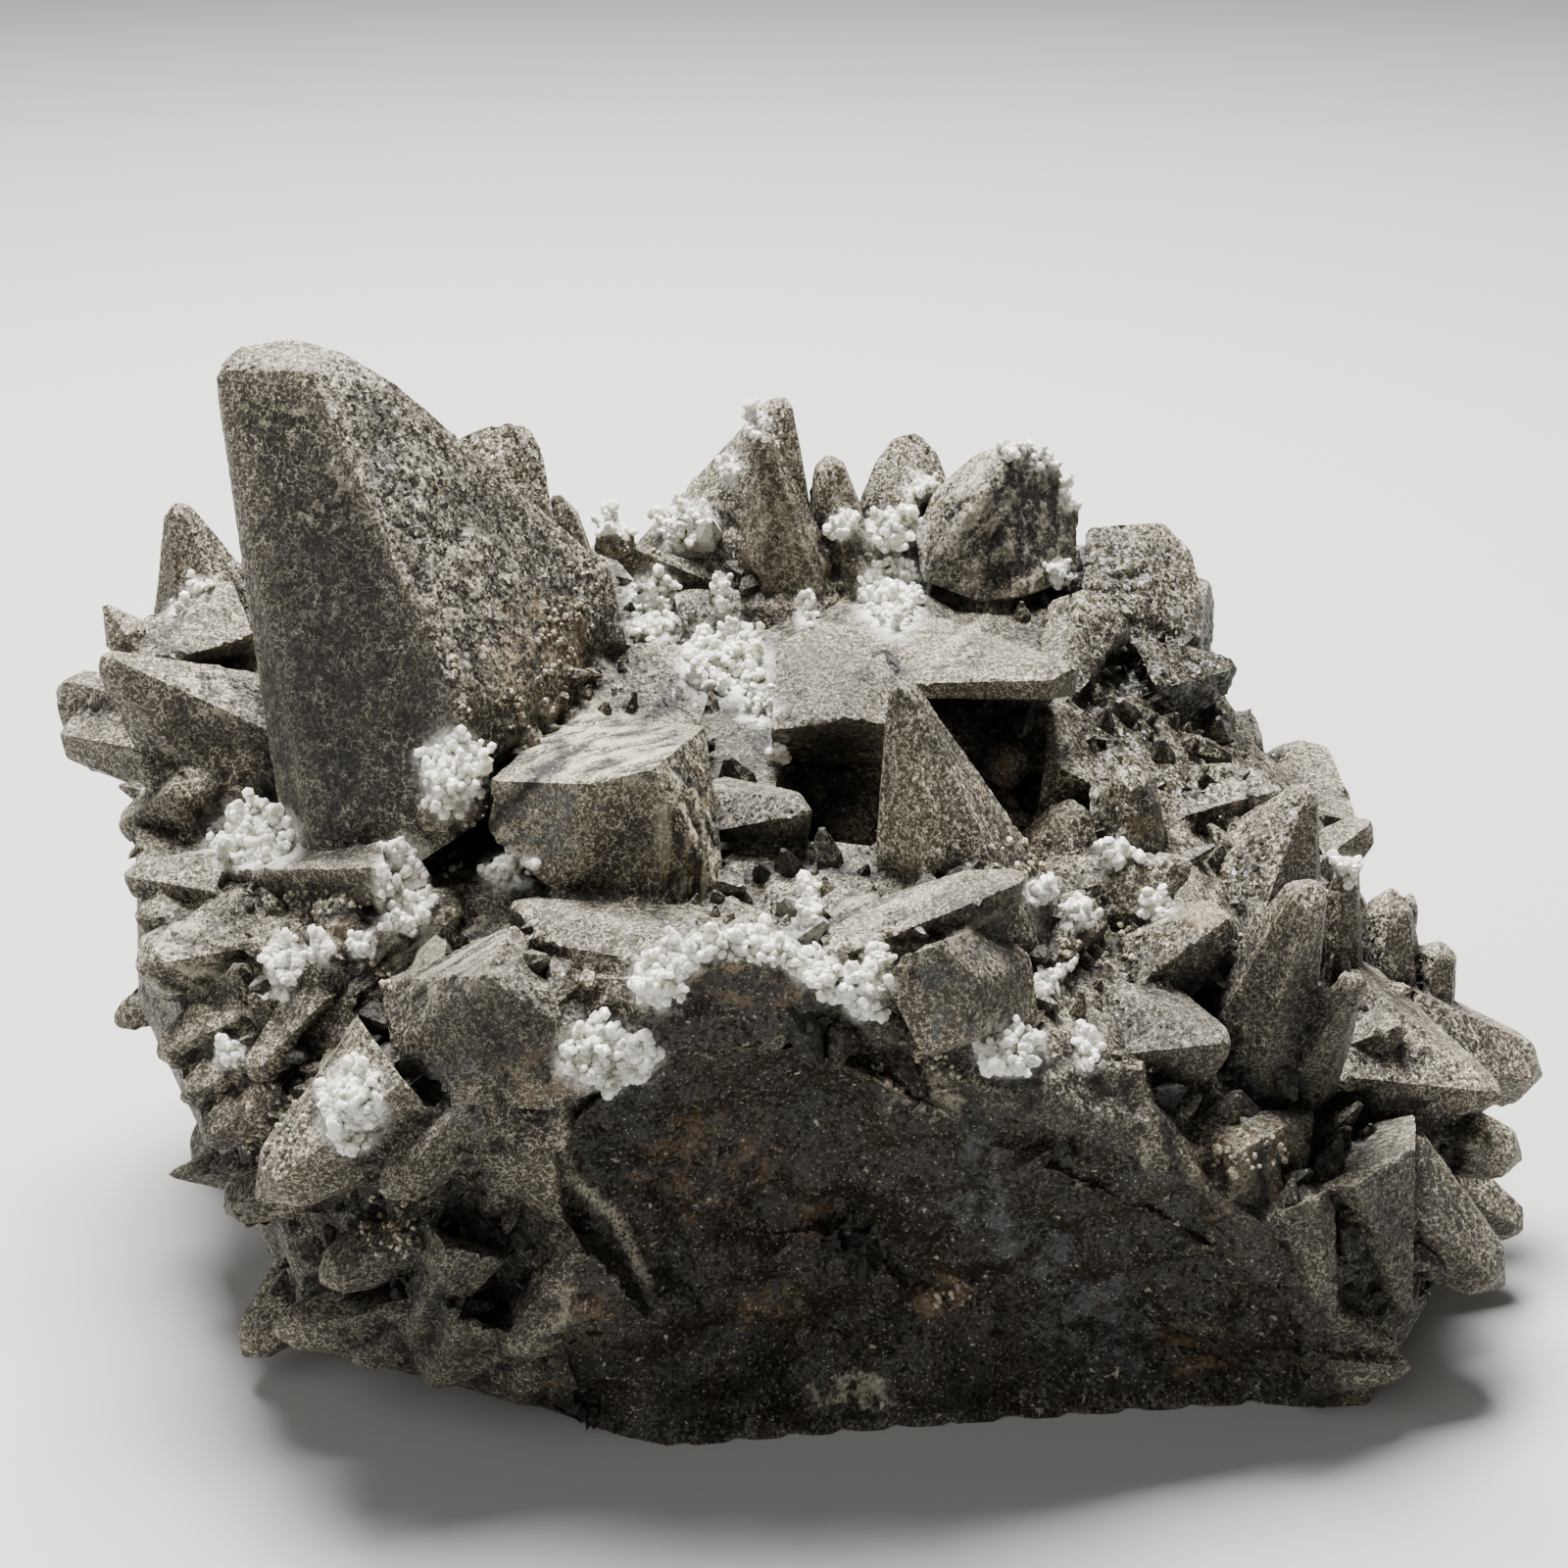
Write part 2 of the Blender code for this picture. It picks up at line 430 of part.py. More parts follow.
def scattered_crystals(matrix, rng):
    """Crystals on the back and the sides, square to the surface or nearly."""
    eye = sight_line(FRAME_SIDE / 2, FRAME_SIDE / 2)[0]
    faces = [f for f in matrix.faces if f.calc_center_median().z > SCATTER_LOWEST]
    weights = [f.calc_area() for f in faces]
    taken = []
    made = []
    for attempt in range(SCATTER_TRIES):
        if len(made) == SCATTERED:
            break
        face = rng.choices(faces, weights)[0]
        foot = face.calc_center_median()
        hidden = face.normal.dot((foot - eye).normalized())
        if hidden < SCATTER_HIDDEN or any((foot - other).length < SCATTER_SPACING for other in taken):
            continue
        length = rng.uniform(*SCATTER_LENGTH) * min(1.0, SCATTER_SHORTEST + hidden)
        sideways = rng.uniform(*SCATTER_SIDE_LEAN)
        back = rng.uniform(*SCATTER_SIDE_LEAN)
        lean = Vector((sideways, back, rng.uniform(*SCATTER_RISE)))
        tip = foot + (face.normal + lean).normalized() * length
        if tip.z < LOWEST_TIP or not SCATTER_REACH[0] < tip.x < SCATTER_REACH[1]:
            continue
        width = length * rng.uniform(*SCATTER_SLENDERNESS)
        bluntness = rng.choice(SCATTER_BLUNTNESS)
        thickness = rng.uniform(*SCATTER_THICKNESS)
        turn = rng.uniform(*SCATTER_TURN)
        facing = Vector((0.0, 0.0, 1.0)) + lean
        taken.append(foot)
        bm = crystal(tip, foot, width, bluntness, thickness, turn, facing, rng)
        made.append(solid_object("scattered_%02d" % len(made), bm))
    return made


def plate(thickness, corners):
    """A flat broken slab under its top's corners."""
    top = [at_depth(*corner) for corner in corners]
    return hull(top + [point - Vector((0.0, 0.0, thickness)) for point in top])


def lump(centre, radius, thickness, rng):
    """A knobbly lump, thinner from front to back where it is a low one."""
    bm = bmesh.new()
    bmesh.ops.create_icosphere(bm, subdivisions=1, radius=radius)
    turn = Matrix.Rotation(rng.uniform(0, math.tau), 3, LUMP_TURN_AXIS)
    for vert in bm.verts:
        vert.co = turn @ (vert.co * rng.uniform(*LUMP_SPREAD))
        vert.co.y *= thickness
    bmesh.ops.translate(bm, vec=centre, verts=bm.verts[:])
    return bm


def surface_of(objects):
    """One tree of all the faces of some objects, for finding points on them."""
    points = []
    faces = []
    for thing in objects:
        start = len(points)
        points.extend(v.co.copy() for v in thing.data.vertices)
        faces.extend([start + i for i in p.vertices] for p in thing.data.polygons)
    return BVHTree.FromPolygons(points, faces)


def joined(base, others):
    """The union of a base and all the others, as the base's new mesh."""
    group = bpy.data.collections.new("grown_on")
    for thing in others:
        group.objects.link(thing)
    union = base.modifiers.new("union", "BOOLEAN")
    union.operation = "UNION"
    union.operand_type = "COLLECTION"
    union.collection = group
    union.solver = "EXACT"
    depsgraph = bpy.context.evaluated_depsgraph_get()
    mesh = bpy.data.meshes.new_from_object(base.evaluated_get(depsgraph))
    for thing in others:
        bpy.data.objects.remove(thing)
    bpy.data.collections.remove(group)
    base.modifiers.clear()
    base.data = mesh
    return base


def fracture_solid():
    """What broke away in front: a solid with a bulging back, which leaves a dished face."""
    back = [at_depth(*corner) for corner in FRACTURE_RIM + FRACTURE_DEEPEST]
    front = [Vector((point.x, FRACTURE_FRONT, point.z)) for point in back]
    return hull(back + front)


def carved(base, cutter):
    """The base with a cutter's shape taken out of it."""
    cut = base.modifiers.new("cut", "BOOLEAN")
    cut.operation = "DIFFERENCE"
    cut.object = cutter
    cut.solver = "EXACT"
    depsgraph = bpy.context.evaluated_depsgraph_get()
    mesh = bpy.data.meshes.new_from_object(base.evaluated_get(depsgraph))
    bpy.data.objects.remove(cutter)
    base.modifiers.clear()
    base.data = mesh
    return base


def fill_pockets(mesh):
    """Makes the stone solid where crystals closed over a pocket, by keeping only its outer skin."""
    bm = bmesh.new()
    bm.from_mesh(mesh)
    waiting = set(bm.faces)
    skins = []
    while waiting:
        skin = [waiting.pop()]
        for face in skin:
            for edge in face.edges:
                for beside in edge.link_faces:
                    if beside in waiting:
                        waiting.remove(beside)
                        skin.append(beside)
        skins.append(skin)
    skins.sort(key=len)
    inner = [face for skin in skins[:-1] for face in skin]
    bmesh.ops.delete(bm, geom=inner, context="FACES")
    bm.to_mesh(mesh)
    bm.free()


def merge_flat_faces(mesh):
    """Joins the triangles that the union left in one flat face, then fills it with fewer."""
    bm = bmesh.new()
    bm.from_mesh(mesh)
    bmesh.ops.dissolve_limit(bm, angle_limit=FLAT_ANGLE, verts=bm.verts[:], edges=bm.edges[:])
    bmesh.ops.triangulate(bm, faces=bm.faces[:])
    bm.to_mesh(mesh)
    bm.free()


def calcite_material():
    """Grey-brown frosted calcite."""
    material = bpy.data.materials.new("calcite")
    material.use_nodes = True
    shader = material.node_tree.nodes["Principled BSDF"]
    shader.inputs["Base Color"].default_value = (0.16, 0.135, 0.11, 1.0)
    shader.inputs["Roughness"].default_value = 0.55
    return material


def main():
    """Builds the specimen as one object."""
    for old in list(bpy.data.objects):
        bpy.data.objects.remove(old)
    rng = random.Random(SEED)
    matrix = matrix_block()
    matrix.faces.ensure_lookup_table()
    scattered = scattered_crystals(matrix, rng)
    cluster = solid_object("calcite_cluster", matrix)
    carved(cluster, solid_object("hollow", hull(HOLLOW_CORNERS)))
    carved(cluster, solid_object("cave", hull(CAVE_CORNERS)))
    carved(cluster, solid_object("fracture", fracture_solid()))
    ground = surface_of([cluster])
    parts = scattered + seen_crystals(ground, rng)
    for name, corners in BLOCKS.items():
        parts.append(solid_object(name, hull([at_depth(*corner) for corner in corners])))
    for name, (thickness, corners) in PLATES.items():
        parts.append(solid_object(name, plate(thickness, corners)))
    grown = surface_of([cluster] + parts)
    for number, (across, down, radius) in enumerate(SUGAR_HEAPS + BROWN_LUMPS):
        heap = lump(planted(grown, across, down), radius, 1.0, rng)
        parts.append(solid_object("heap_%02d" % number, heap))
    for number, (across, down, radius) in enumerate(FRACTURE_LUMPS):
        middle = planted(ground, across, down) + Vector((0.0, LUMP_SUNK, 0.0))
        broken = lump(middle, radius, LUMP_THICKNESS, rng)
        parts.append(solid_object("broken_%02d" % number, broken))
    joined(cluster, parts)
    fill_pockets(cluster.data)
    merge_flat_faces(cluster.data)
    cluster.data.transform(Matrix.Scale(METRES_PER_MM, 4) @ Matrix.Translation(-FOOT_MIDDLE))
    cluster.data.materials.clear()
    cluster.data.materials.append(calcite_material())


main()
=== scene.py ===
# %% [markdown]
# # A dogtooth calcite cluster
#
# The real thing is a broken, hand-sized lump of dark rock. Pointed calcite
# crystals grow over its top and sides, and white sugary calcite grew last, in
# strings of waxy beads between them. The solid model already holds every
# crystal, ledge and broken block. This file gives it a surface: the fine
# relief, the small crystals and grains, and the colours.

# %% The solid model
import math
import random

import bmesh
import bpy
import numpy as np
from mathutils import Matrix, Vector
from mathutils.bvhtree import BVHTree
from mathutils.kdtree import KDTree


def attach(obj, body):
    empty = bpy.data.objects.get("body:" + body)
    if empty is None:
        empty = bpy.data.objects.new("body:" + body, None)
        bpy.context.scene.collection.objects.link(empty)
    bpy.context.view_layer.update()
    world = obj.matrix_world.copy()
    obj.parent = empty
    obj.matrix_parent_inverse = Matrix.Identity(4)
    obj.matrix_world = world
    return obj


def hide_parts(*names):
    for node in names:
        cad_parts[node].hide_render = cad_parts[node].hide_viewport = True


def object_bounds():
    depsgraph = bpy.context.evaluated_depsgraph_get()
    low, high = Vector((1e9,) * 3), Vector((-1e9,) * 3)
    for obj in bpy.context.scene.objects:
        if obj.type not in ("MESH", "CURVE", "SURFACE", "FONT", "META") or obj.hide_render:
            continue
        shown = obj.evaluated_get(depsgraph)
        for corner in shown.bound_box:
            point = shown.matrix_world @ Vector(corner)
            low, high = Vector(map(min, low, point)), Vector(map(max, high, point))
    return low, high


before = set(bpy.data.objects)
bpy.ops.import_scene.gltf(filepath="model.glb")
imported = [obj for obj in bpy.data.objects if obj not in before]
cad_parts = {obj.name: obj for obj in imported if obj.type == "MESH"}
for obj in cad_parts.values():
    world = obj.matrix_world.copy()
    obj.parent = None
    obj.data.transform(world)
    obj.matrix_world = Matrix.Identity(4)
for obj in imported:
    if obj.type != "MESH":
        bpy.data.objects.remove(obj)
solid_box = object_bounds()
BOX_LOW, BOX_HIGH = (np.array(corner) for corner in solid_box)
MM = 0.001
print("solid box", [[round(v / MM, 1) for v in corner] for corner in solid_box])

# %% [markdown]
# ## The sighting frame
#
# Patches of colour and grain sit where they are seen on the real specimen. A
# square frame, 100 mm on a side, stands round its middle and is looked through
# from in front and above. "Across" and "down" are millimetres from the frame's
# upper left corner. The camera stands at the same eye, so one set of numbers
# places both the patches and the view.

# %% Looking through the frame
FRAME_SIDE = 100.0
SIGHT_LENGTH = 166.7
SIGHT_TILT = math.radians(25.0)
FRAME_MIDDLE = np.array((-8.0, 3.0, 32.5))
RIGHT = np.array((1.0, 0.0, 0.0))
UP = np.array((0.0, math.sin(SIGHT_TILT), math.cos(SIGHT_TILT)))
AWAY = np.array((0.0, math.cos(SIGHT_TILT), -math.sin(SIGHT_TILT)))
EYE = FRAME_MIDDLE - AWAY * SIGHT_LENGTH


def sight_ray(across, down):
    """The direction from the eye through a point of the frame."""
    half = FRAME_SIDE / 2
    ray = AWAY * SIGHT_LENGTH + RIGHT * (across - half) + UP * (half - down)
    return ray / np.linalg.norm(ray)


def seen_at(points):
    """Where points, in metres, show on the frame: across and down, in millimetres."""
    from_eye = points / MM - EYE
    far = from_eye @ AWAY / SIGHT_LENGTH
    half = FRAME_SIDE / 2
    return half + from_eye @ RIGHT / far, half - from_eye @ UP / far


print("eye at", EYE.round(1), "mm")

# %% [markdown]
# ## Helpers for meshes
#
# Modifiers and node trees are worked out once and turned into a plain mesh, so
# what is left is only vertices and faces. Numbers kept on the vertices, such as
# how sheltered a spot is, are named attributes that the materials read.

# %% Working out modifiers and storing numbers
def settled(thing):
    """Replaces an object's mesh with what its modifiers make of it."""
    depsgraph = bpy.context.evaluated_depsgraph_get()
    mesh = bpy.data.meshes.new_from_object(thing.evaluated_get(depsgraph))
    thing.modifiers.clear()
    thing.data = mesh
    return thing


def new_object(name, mesh):
    """An object at the origin that holds a mesh."""
    thing = bpy.data.objects.new(name, mesh)
    bpy.context.scene.collection.objects.link(thing)
    return thing


def read_points(mesh):
    """The vertices' places and their outward directions."""
    places = np.empty(len(mesh.vertices) * 3, dtype=np.float32)
    mesh.vertices.foreach_get("co", places)
    outward = np.empty(len(mesh.vertices) * 3, dtype=np.float32)
    mesh.vertex_normals.foreach_get("vector", outward)
    return places.reshape(-1, 3).astype(float), outward.reshape(-1, 3).astype(float)


def store(mesh, name, values):
    """Keeps one number, or one vector, for each vertex."""
    flat = np.ascontiguousarray(values, dtype=np.float32)
    kind, field = ("FLOAT", "value") if flat.ndim == 1 else ("FLOAT_VECTOR", "vector")
    old = mesh.attributes.get(name)
    if old:
        mesh.attributes.remove(old)
    mesh.attributes.new(name, kind, "POINT").data.foreach_set(field, flat.ravel())


def keep_in_box(mesh):
    """Presses every vertex back inside the solid's box, and so flat on the floor too."""
    places = np.clip(read_points(mesh)[0], BOX_LOW, BOX_HIGH)
    mesh.vertices.foreach_set("co", places.astype(np.float32).ravel())
    mesh.update()


def triangle_count(thing):
    """How many triangles an object's mesh holds."""
    thing.data.calc_loop_triangles()
    return len(thing.data.loop_triangles)


# %% [markdown]
# ## The stone's skin
#
# The solid's faces are large and flat, and its triangles are of every size. A
# voxel remesh lays an even skin of small quads over the same shape. It also
# rounds the ridges, and a crystal's ridges are crisp. So each vertex is laid back
# on the solid, and those beside a sharp edge are pulled onto the edge itself.

# %% Laying an even skin over a copy of the solid
STONE_VOXEL = 0.40 * MM
WELD = 0.001 * MM
CREASE = math.radians(20.0)
CREASE_REACH = 0.28 * MM
CREASE_STEP = 0.10 * MM


def crease_search(solid):
    """A search over points set closely along every sharp edge of a solid."""
    points = []
    for edge in solid.edges:
        if edge.is_manifold and edge.calc_face_angle() > CREASE:
            start, end = (vertex.co for vertex in edge.verts)
            count = max(1, math.ceil(edge.calc_length() / CREASE_STEP))
            points += [start.lerp(end, (number + 0.5) / count) for number in range(count)]
    search = KDTree(len(points))
    for number, point in enumerate(points):
        search.insert(point, number)
    search.balance()
    return search


copy = bmesh.new()
copy.from_mesh(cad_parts["calcite_cluster"].data)
bmesh.ops.remove_doubles(copy, verts=copy.verts[:], dist=WELD)
stone_mesh = bpy.data.meshes.new("stone")
copy.to_mesh(stone_mesh)
stone = new_object("stone", stone_mesh)
skin = stone.modifiers.new("skin", "REMESH")
skin.mode = "VOXEL"
skin.voxel_size = STONE_VOXEL
settled(stone)
creases = crease_search(copy)
solid_faces = BVHTree.FromBMesh(copy)
for vertex in stone.data.vertices:
    crease, number, off = creases.find(vertex.co)
    vertex.co = crease if off < CREASE_REACH else solid_faces.find_nearest(vertex.co)[0]
copy.free()
print("stone skin", triangle_count(stone), "triangles")

# %% [markdown]
# ## Sheltered and exposed places
#
# The hollows are painted dark as shade, and the edges and tips pale, partly as wear
# and crust and partly as painted highlight.
# Each vertex is compared with the average of its neighbours, many times over.
# Where the average lies outside the surface the place is a hollow, and where it
# lies inside it is an edge or a tip. Rays sent out at random tell how open each
# place is, and one ray to the eye tells whether it can be seen from there.

# %% Measuring how sheltered each place is
NEAR_ROUNDS = 8
FAR_ROUNDS = 90
OPEN_RAYS = 12
OPEN_SEED = 8
OPEN_REACH = 9.0
OPEN_START = 0.05
OUTWARD_PULL = 1.02
SIGHT_START = 0.40
SOFT_ROUNDS = 3


def read_edges(mesh):
    """The two vertices at the ends of each edge."""
    ends = np.empty(len(mesh.edges) * 2, dtype=np.int32)
    mesh.edges.foreach_get("vertices", ends)
    return ends.reshape(-1, 2)


def averaged(places, edges, rounds):
    """Places smoothed by averaging each with its neighbours."""
    first, second = edges.T
    count = len(places)
    shares = np.bincount(first, minlength=count) + np.bincount(second, minlength=count)
    for turn in range(rounds):
        total = np.empty_like(places)
        for axis in range(3):
            total[:, axis] = np.bincount(first, places[second, axis], count)
            total[:, axis] += np.bincount(second, places[first, axis], count)
        places = (places + total) / (shares + 1)[:, None]
    return places


def softened(mesh, numbers, rounds):
    """Numbers kept on the vertices, each averaged with its neighbours."""
    return averaged(np.repeat(numbers[:, None], 3, axis=1), read_edges(mesh), rounds)[:, 0]


def shelter(mesh):
    """How far inside its surroundings each vertex lies, near and far, in millimetres."""
    places, outward = read_points(mesh)
    edges = read_edges(mesh)
    near = averaged(places, edges, NEAR_ROUNDS)
    far = averaged(near, edges, FAR_ROUNDS)
    return [((smooth - places) * outward).sum(1) / MM for smooth in (near, far)]


def surface_tree(mesh):
    """A search tree over all the triangles of a mesh, in millimetres."""
    points = read_points(mesh)[0] / MM
    mesh.calc_loop_triangles()
    corners = np.empty(len(mesh.loop_triangles) * 3, dtype=np.int32)
    mesh.loop_triangles.foreach_get("vertices", corners)
    return BVHTree.FromPolygons(points.tolist(), corners.reshape(-1, 3).tolist())


def in_sight(mesh):
    """1 for each vertex that the eye sees and 0 for each that something hides."""
    places, outward = read_points(mesh)
    faces = surface_tree(mesh)
    starts = places / MM + outward * SIGHT_START
    headings = EYE - starts
    seen = np.array([
        faces.ray_cast(start, heading)[3] is None
        for start, heading in zip(starts.tolist(), headings.tolist())
    ], dtype=float)
    return softened(mesh, seen, SOFT_ROUNDS)


def openness(mesh):
    """How much of its surroundings each vertex sees: 1 in the open and 0 deep in a gap."""
    places, outward = read_points(mesh)
    faces = surface_tree(mesh)
    spread = np.random.default_rng(OPEN_SEED).normal(size=(OPEN_RAYS, len(places), 3))
    spread /= np.linalg.norm(spread, axis=2)[:, :, None]
    seen = np.zeros(len(places))
    starts = (places / MM + outward * OPEN_START).tolist()
    for turn in spread:
        for number, heading in enumerate((turn + outward * OUTWARD_PULL).tolist()):
            far = faces.ray_cast(starts[number], heading, OPEN_REACH)[3]
            seen[number] += 1.0 if far is None else 0.5 * far / OPEN_REACH
    return softened(mesh, seen / OPEN_RAYS, 2)


def smooth_step(values, low, high):
    """0 below the low limit and 1 above the high one, with a soft change between."""
    share = np.clip((values - low) / (high - low), 0.0, 1.0)
    return share * share * (3.0 - 2.0 * share)


far_shelter = shelter(stone.data)[1]
print("far shelter", np.percentile(far_shelter, (1, 50, 99)).round(2), "mm")

# %% [markdown]
# ## Patches
#
# A patch is an ellipse on the sighting frame: its middle across and down, and how
# far it reaches each way. Drawn lines mark pale crusts and dark crevices, which get
# painted shade, and one outline rings the broken face. The shaded patches get painted
# shade and the lit patches painted light. All of them mark only what the eye can see.

# %% Where each finish lies
SUGAR_PATCHES = (
    (39.7, 33.1, 1.6, 1.0), (43.8, 33.6, 1.7, 1.5), (41.6, 37.8, 1.4, 1.4), (41.6, 40.0, 1.6, 0.8),
    (46.2, 42.2, 2.6, 2.2), (46.1, 38.0, 0.6, 1.2), (51.4, 39.0, 0.6, 1.0), (48.4, 45.3, 0.9, 0.9),
    (49.7, 47.8, 0.4, 0.9), (53.6, 33.6, 0.9, 0.8), (56.9, 33.9, 1.7, 1.2), (56.9, 38.0, 1.9, 2.4),
    (58.6, 31.1, 0.9, 0.8), (28.9, 49.4, 1.8, 2.5), (16.1, 53.4, 2.7, 1.9), (25.8, 56.9, 1.7, 2.8),
    (32.5, 55.5, 1.6, 1.1), (18.0, 61.7, 0.9, 2.0), (20.6, 60.6, 0.8, 0.8), (23.1, 60.3, 0.8, 0.8),
    (41.9, 62.6, 1.6, 1.6), (43.4, 61.2, 1.3, 1.0), (45.2, 60.3, 1.4, 0.9), (47.3, 60.0, 1.4, 0.9),
    (49.5, 60.6, 1.4, 0.9), (51.6, 61.6, 1.4, 1.0), (53.6, 62.8, 1.3, 1.1), (55.0, 64.0, 1.1, 1.1),
    (51.6, 58.4, 0.7, 2.0), (55.9, 61.9, 0.9, 1.6), (38.7, 67.4, 2.8, 2.0), (64.4, 67.0, 1.9, 1.4),
    (66.2, 56.9, 0.8, 0.7), (68.8, 58.4, 0.8, 0.8), (71.3, 54.4, 0.8, 0.8), (73.8, 57.8, 1.0, 0.8),
    (66.9, 62.5, 0.8, 0.7), (69.4, 66.9, 0.7, 1.3), (22.5, 70.6, 1.9, 2.5), (14.7, 67.2, 0.9, 0.9),
    (12.8, 37.5, 0.8, 0.6), (11.3, 38.8, 0.7, 0.5), (67.8, 36.8, 0.8, 0.8), (86.0, 55.4, 0.8, 0.8),
    (64.6, 28.7, 1.0, 0.5), (66.6, 29.3, 0.8, 0.6), (68.3, 31.4, 0.6, 1.2), (48.2, 27.0, 0.5, 0.9),
    (46.6, 30.0, 0.5, 0.9),
)
CRUST_PATCHES = (
    (21.2, 30.5, 1.4, 1.2), (20.6, 32.8, 1.8, 1.0), (26.6, 29.4, 2.6, 2.8), (27.6, 34.4, 1.4, 4.4),
    (30.4, 36.6, 2.6, 2.8), (29.6, 41.6, 1.2, 3.6), (20.4, 38.6, 1.4, 1.0), (18.4, 27.0, 1.6, 1.2),
    (33.5, 53.0, 3.6, 3.0), (60.0, 41.5, 2.5, 1.2), (13.0, 44.0, 3.0, 2.0), (49.0, 32.0, 1.2, 4.0),
)
TAN_PATCHES = (
    (34.6, 41.4, 3.6, 4.2), (44.4, 52.0, 1.4, 5.0), (48.0, 63.0, 6.5, 1.6), (79.8, 74.3, 4.0, 3.4),
    (34.0, 68.5, 3.5, 2.0), (53.8, 53.0, 2.0, 1.6), (64.5, 49.8, 2.4, 2.2), (64.6, 56.6, 1.4, 1.6),
    (60.3, 82.6, 2.6, 1.6), (41.0, 46.6, 1.4, 2.0), (12.0, 79.0, 6.0, 3.0), (73.5, 52.9, 2.0, 1.2),
    (76.0, 58.6, 3.0, 1.2), (28.0, 58.4, 1.5, 1.2), (22.2, 59.4, 1.6, 1.6), (39.5, 34.8, 1.8, 1.0),
)
BLUE_PATCHES = (
    (34.4, 53.0, 3.8, 3.4), (62.4, 75.6, 2.6, 4.4), (60.0, 64.0, 2.6, 3.0), (29.0, 70.0, 4.0, 4.0),
    (70.0, 84.4, 4.4, 3.8), (66.0, 80.0, 3.0, 2.4),
)
# Faces and hollows that lie in shade: the colour there is darkened as painted shade.
SHADED_PATCHES = (
    (20.5, 44.0, 4.5, 12.0), (40.0, 40.0, 1.8, 3.2), (61.5, 35.6, 3.0, 2.6), (51.0, 50.0, 6.0, 4.5),
    (52.4, 47.4, 4.5, 1.8), (62.0, 46.5, 4.0, 2.6), (31.5, 64.5, 5.0, 4.0), (70.0, 71.0, 4.0, 3.4),
    (86.0, 76.0, 6.0, 6.0), (90.0, 82.0, 7.0, 6.0), (29.0, 63.5, 5.0, 2.6), (27.5, 45.0, 3.0, 5.0),
    (21.5, 44.0, 5.0, 13.0), (72.0, 44.0, 5.0, 4.0), (66.0, 33.0, 4.0, 4.0), (77.6, 43.0, 5.0, 4.0),
    (64.0, 70.0, 6.0, 3.0), (76.0, 78.0, 6.0, 3.0), (50.0, 44.6, 9.0, 4.6), (44.0, 38.0, 5.0, 3.0),
    (64.0, 60.0, 5.0, 5.0), (28.0, 82.0, 8.0, 8.0), (12.0, 76.0, 5.0, 5.0), (80.0, 66.0, 8.0, 7.0),
)
# Faces that catch the light: the colour there is lifted as painted light.
LIT_PATCHES = (
    (58.4, 50.4, 2.6, 5.6), (34.4, 53.0, 3.6, 3.2), (55.0, 41.6, 5.0, 1.0), (39.5, 47.8, 5.4, 2.4),
)
SCALE_PATCHES = ((75.4, 46.5, 7.6, 7.6), (70.5, 38.0, 4.0, 4.0), (58.0, 60.4, 3.6, 1.8))
RUST_PATCHES = (
    (44.7, 74.0, 4.6, 4.6), (60.3, 82.6, 2.6, 1.8), (79.6, 74.3, 4.2, 3.6), (37.4, 84.0, 2.2, 2.4),
    (52.0, 78.0, 2.0, 1.6), (34.0, 87.0, 3.0, 3.6), (49.5, 83.6, 3.4, 1.8), (76.0, 86.0, 3.0, 2.6),
)
CHALK_PATCHES = (
    (30.0, 71.8, 3.0, 3.0), (13.5, 68.5, 3.0, 5.0), (20.0, 66.5, 3.6, 3.6), (59.0, 69.8, 3.4, 2.2),
    (66.0, 66.0, 3.0, 2.0), (55.0, 88.6, 2.4, 1.6), (47.5, 38.0, 7.0, 5.0), (17.0, 50.6, 6.0, 3.0),
    (59.4, 53.4, 1.4, 2.0), (34.5, 84.0, 2.4, 3.0), (54.5, 88.8, 3.0, 1.6),
)
PLAIN_PATCHES = (
    (75.4, 46.0, 8.0, 8.0), (56.0, 43.0, 7.0, 3.6), (48.0, 33.5, 8.0, 5.0), (28.0, 64.5, 9.0, 8.0),
    (17.0, 68.0, 8.0, 14.0), (26.0, 82.0, 9.0, 9.0), (52.0, 59.0, 10.0, 4.5), (64.0, 66.0, 8.0, 5.0),
    (72.0, 73.0, 9.0, 5.0), (88.0, 76.0, 9.0, 9.0), (33.0, 61.0, 9.0, 4.0), (40.0, 42.0, 4.0, 5.0),
)
FRACTURE_OUTLINE = (
    (36.2, 70.8), (39.0, 69.0), (41.6, 66.0), (43.0, 63.4), (45.4, 62.2), (50.0, 62.0), (53.6, 63.6),
    (56.3, 65.2), (59.6, 68.8), (66.0, 72.0), (72.4, 73.9), (73.5, 74.9), (78.9, 77.9), (82.4, 80.6),
    (84.8, 84.9), (86.0, 93.0), (60.0, 94.5), (48.0, 96.0), (40.0, 96.0), (34.0, 90.0), (37.0, 80.0),
)
PATCH_FADE = 0.45
BROKEN_BACK = -9.0 * MM
PALE_REACH = 0.55
CREVICE_SHADE_REACH = 0.75
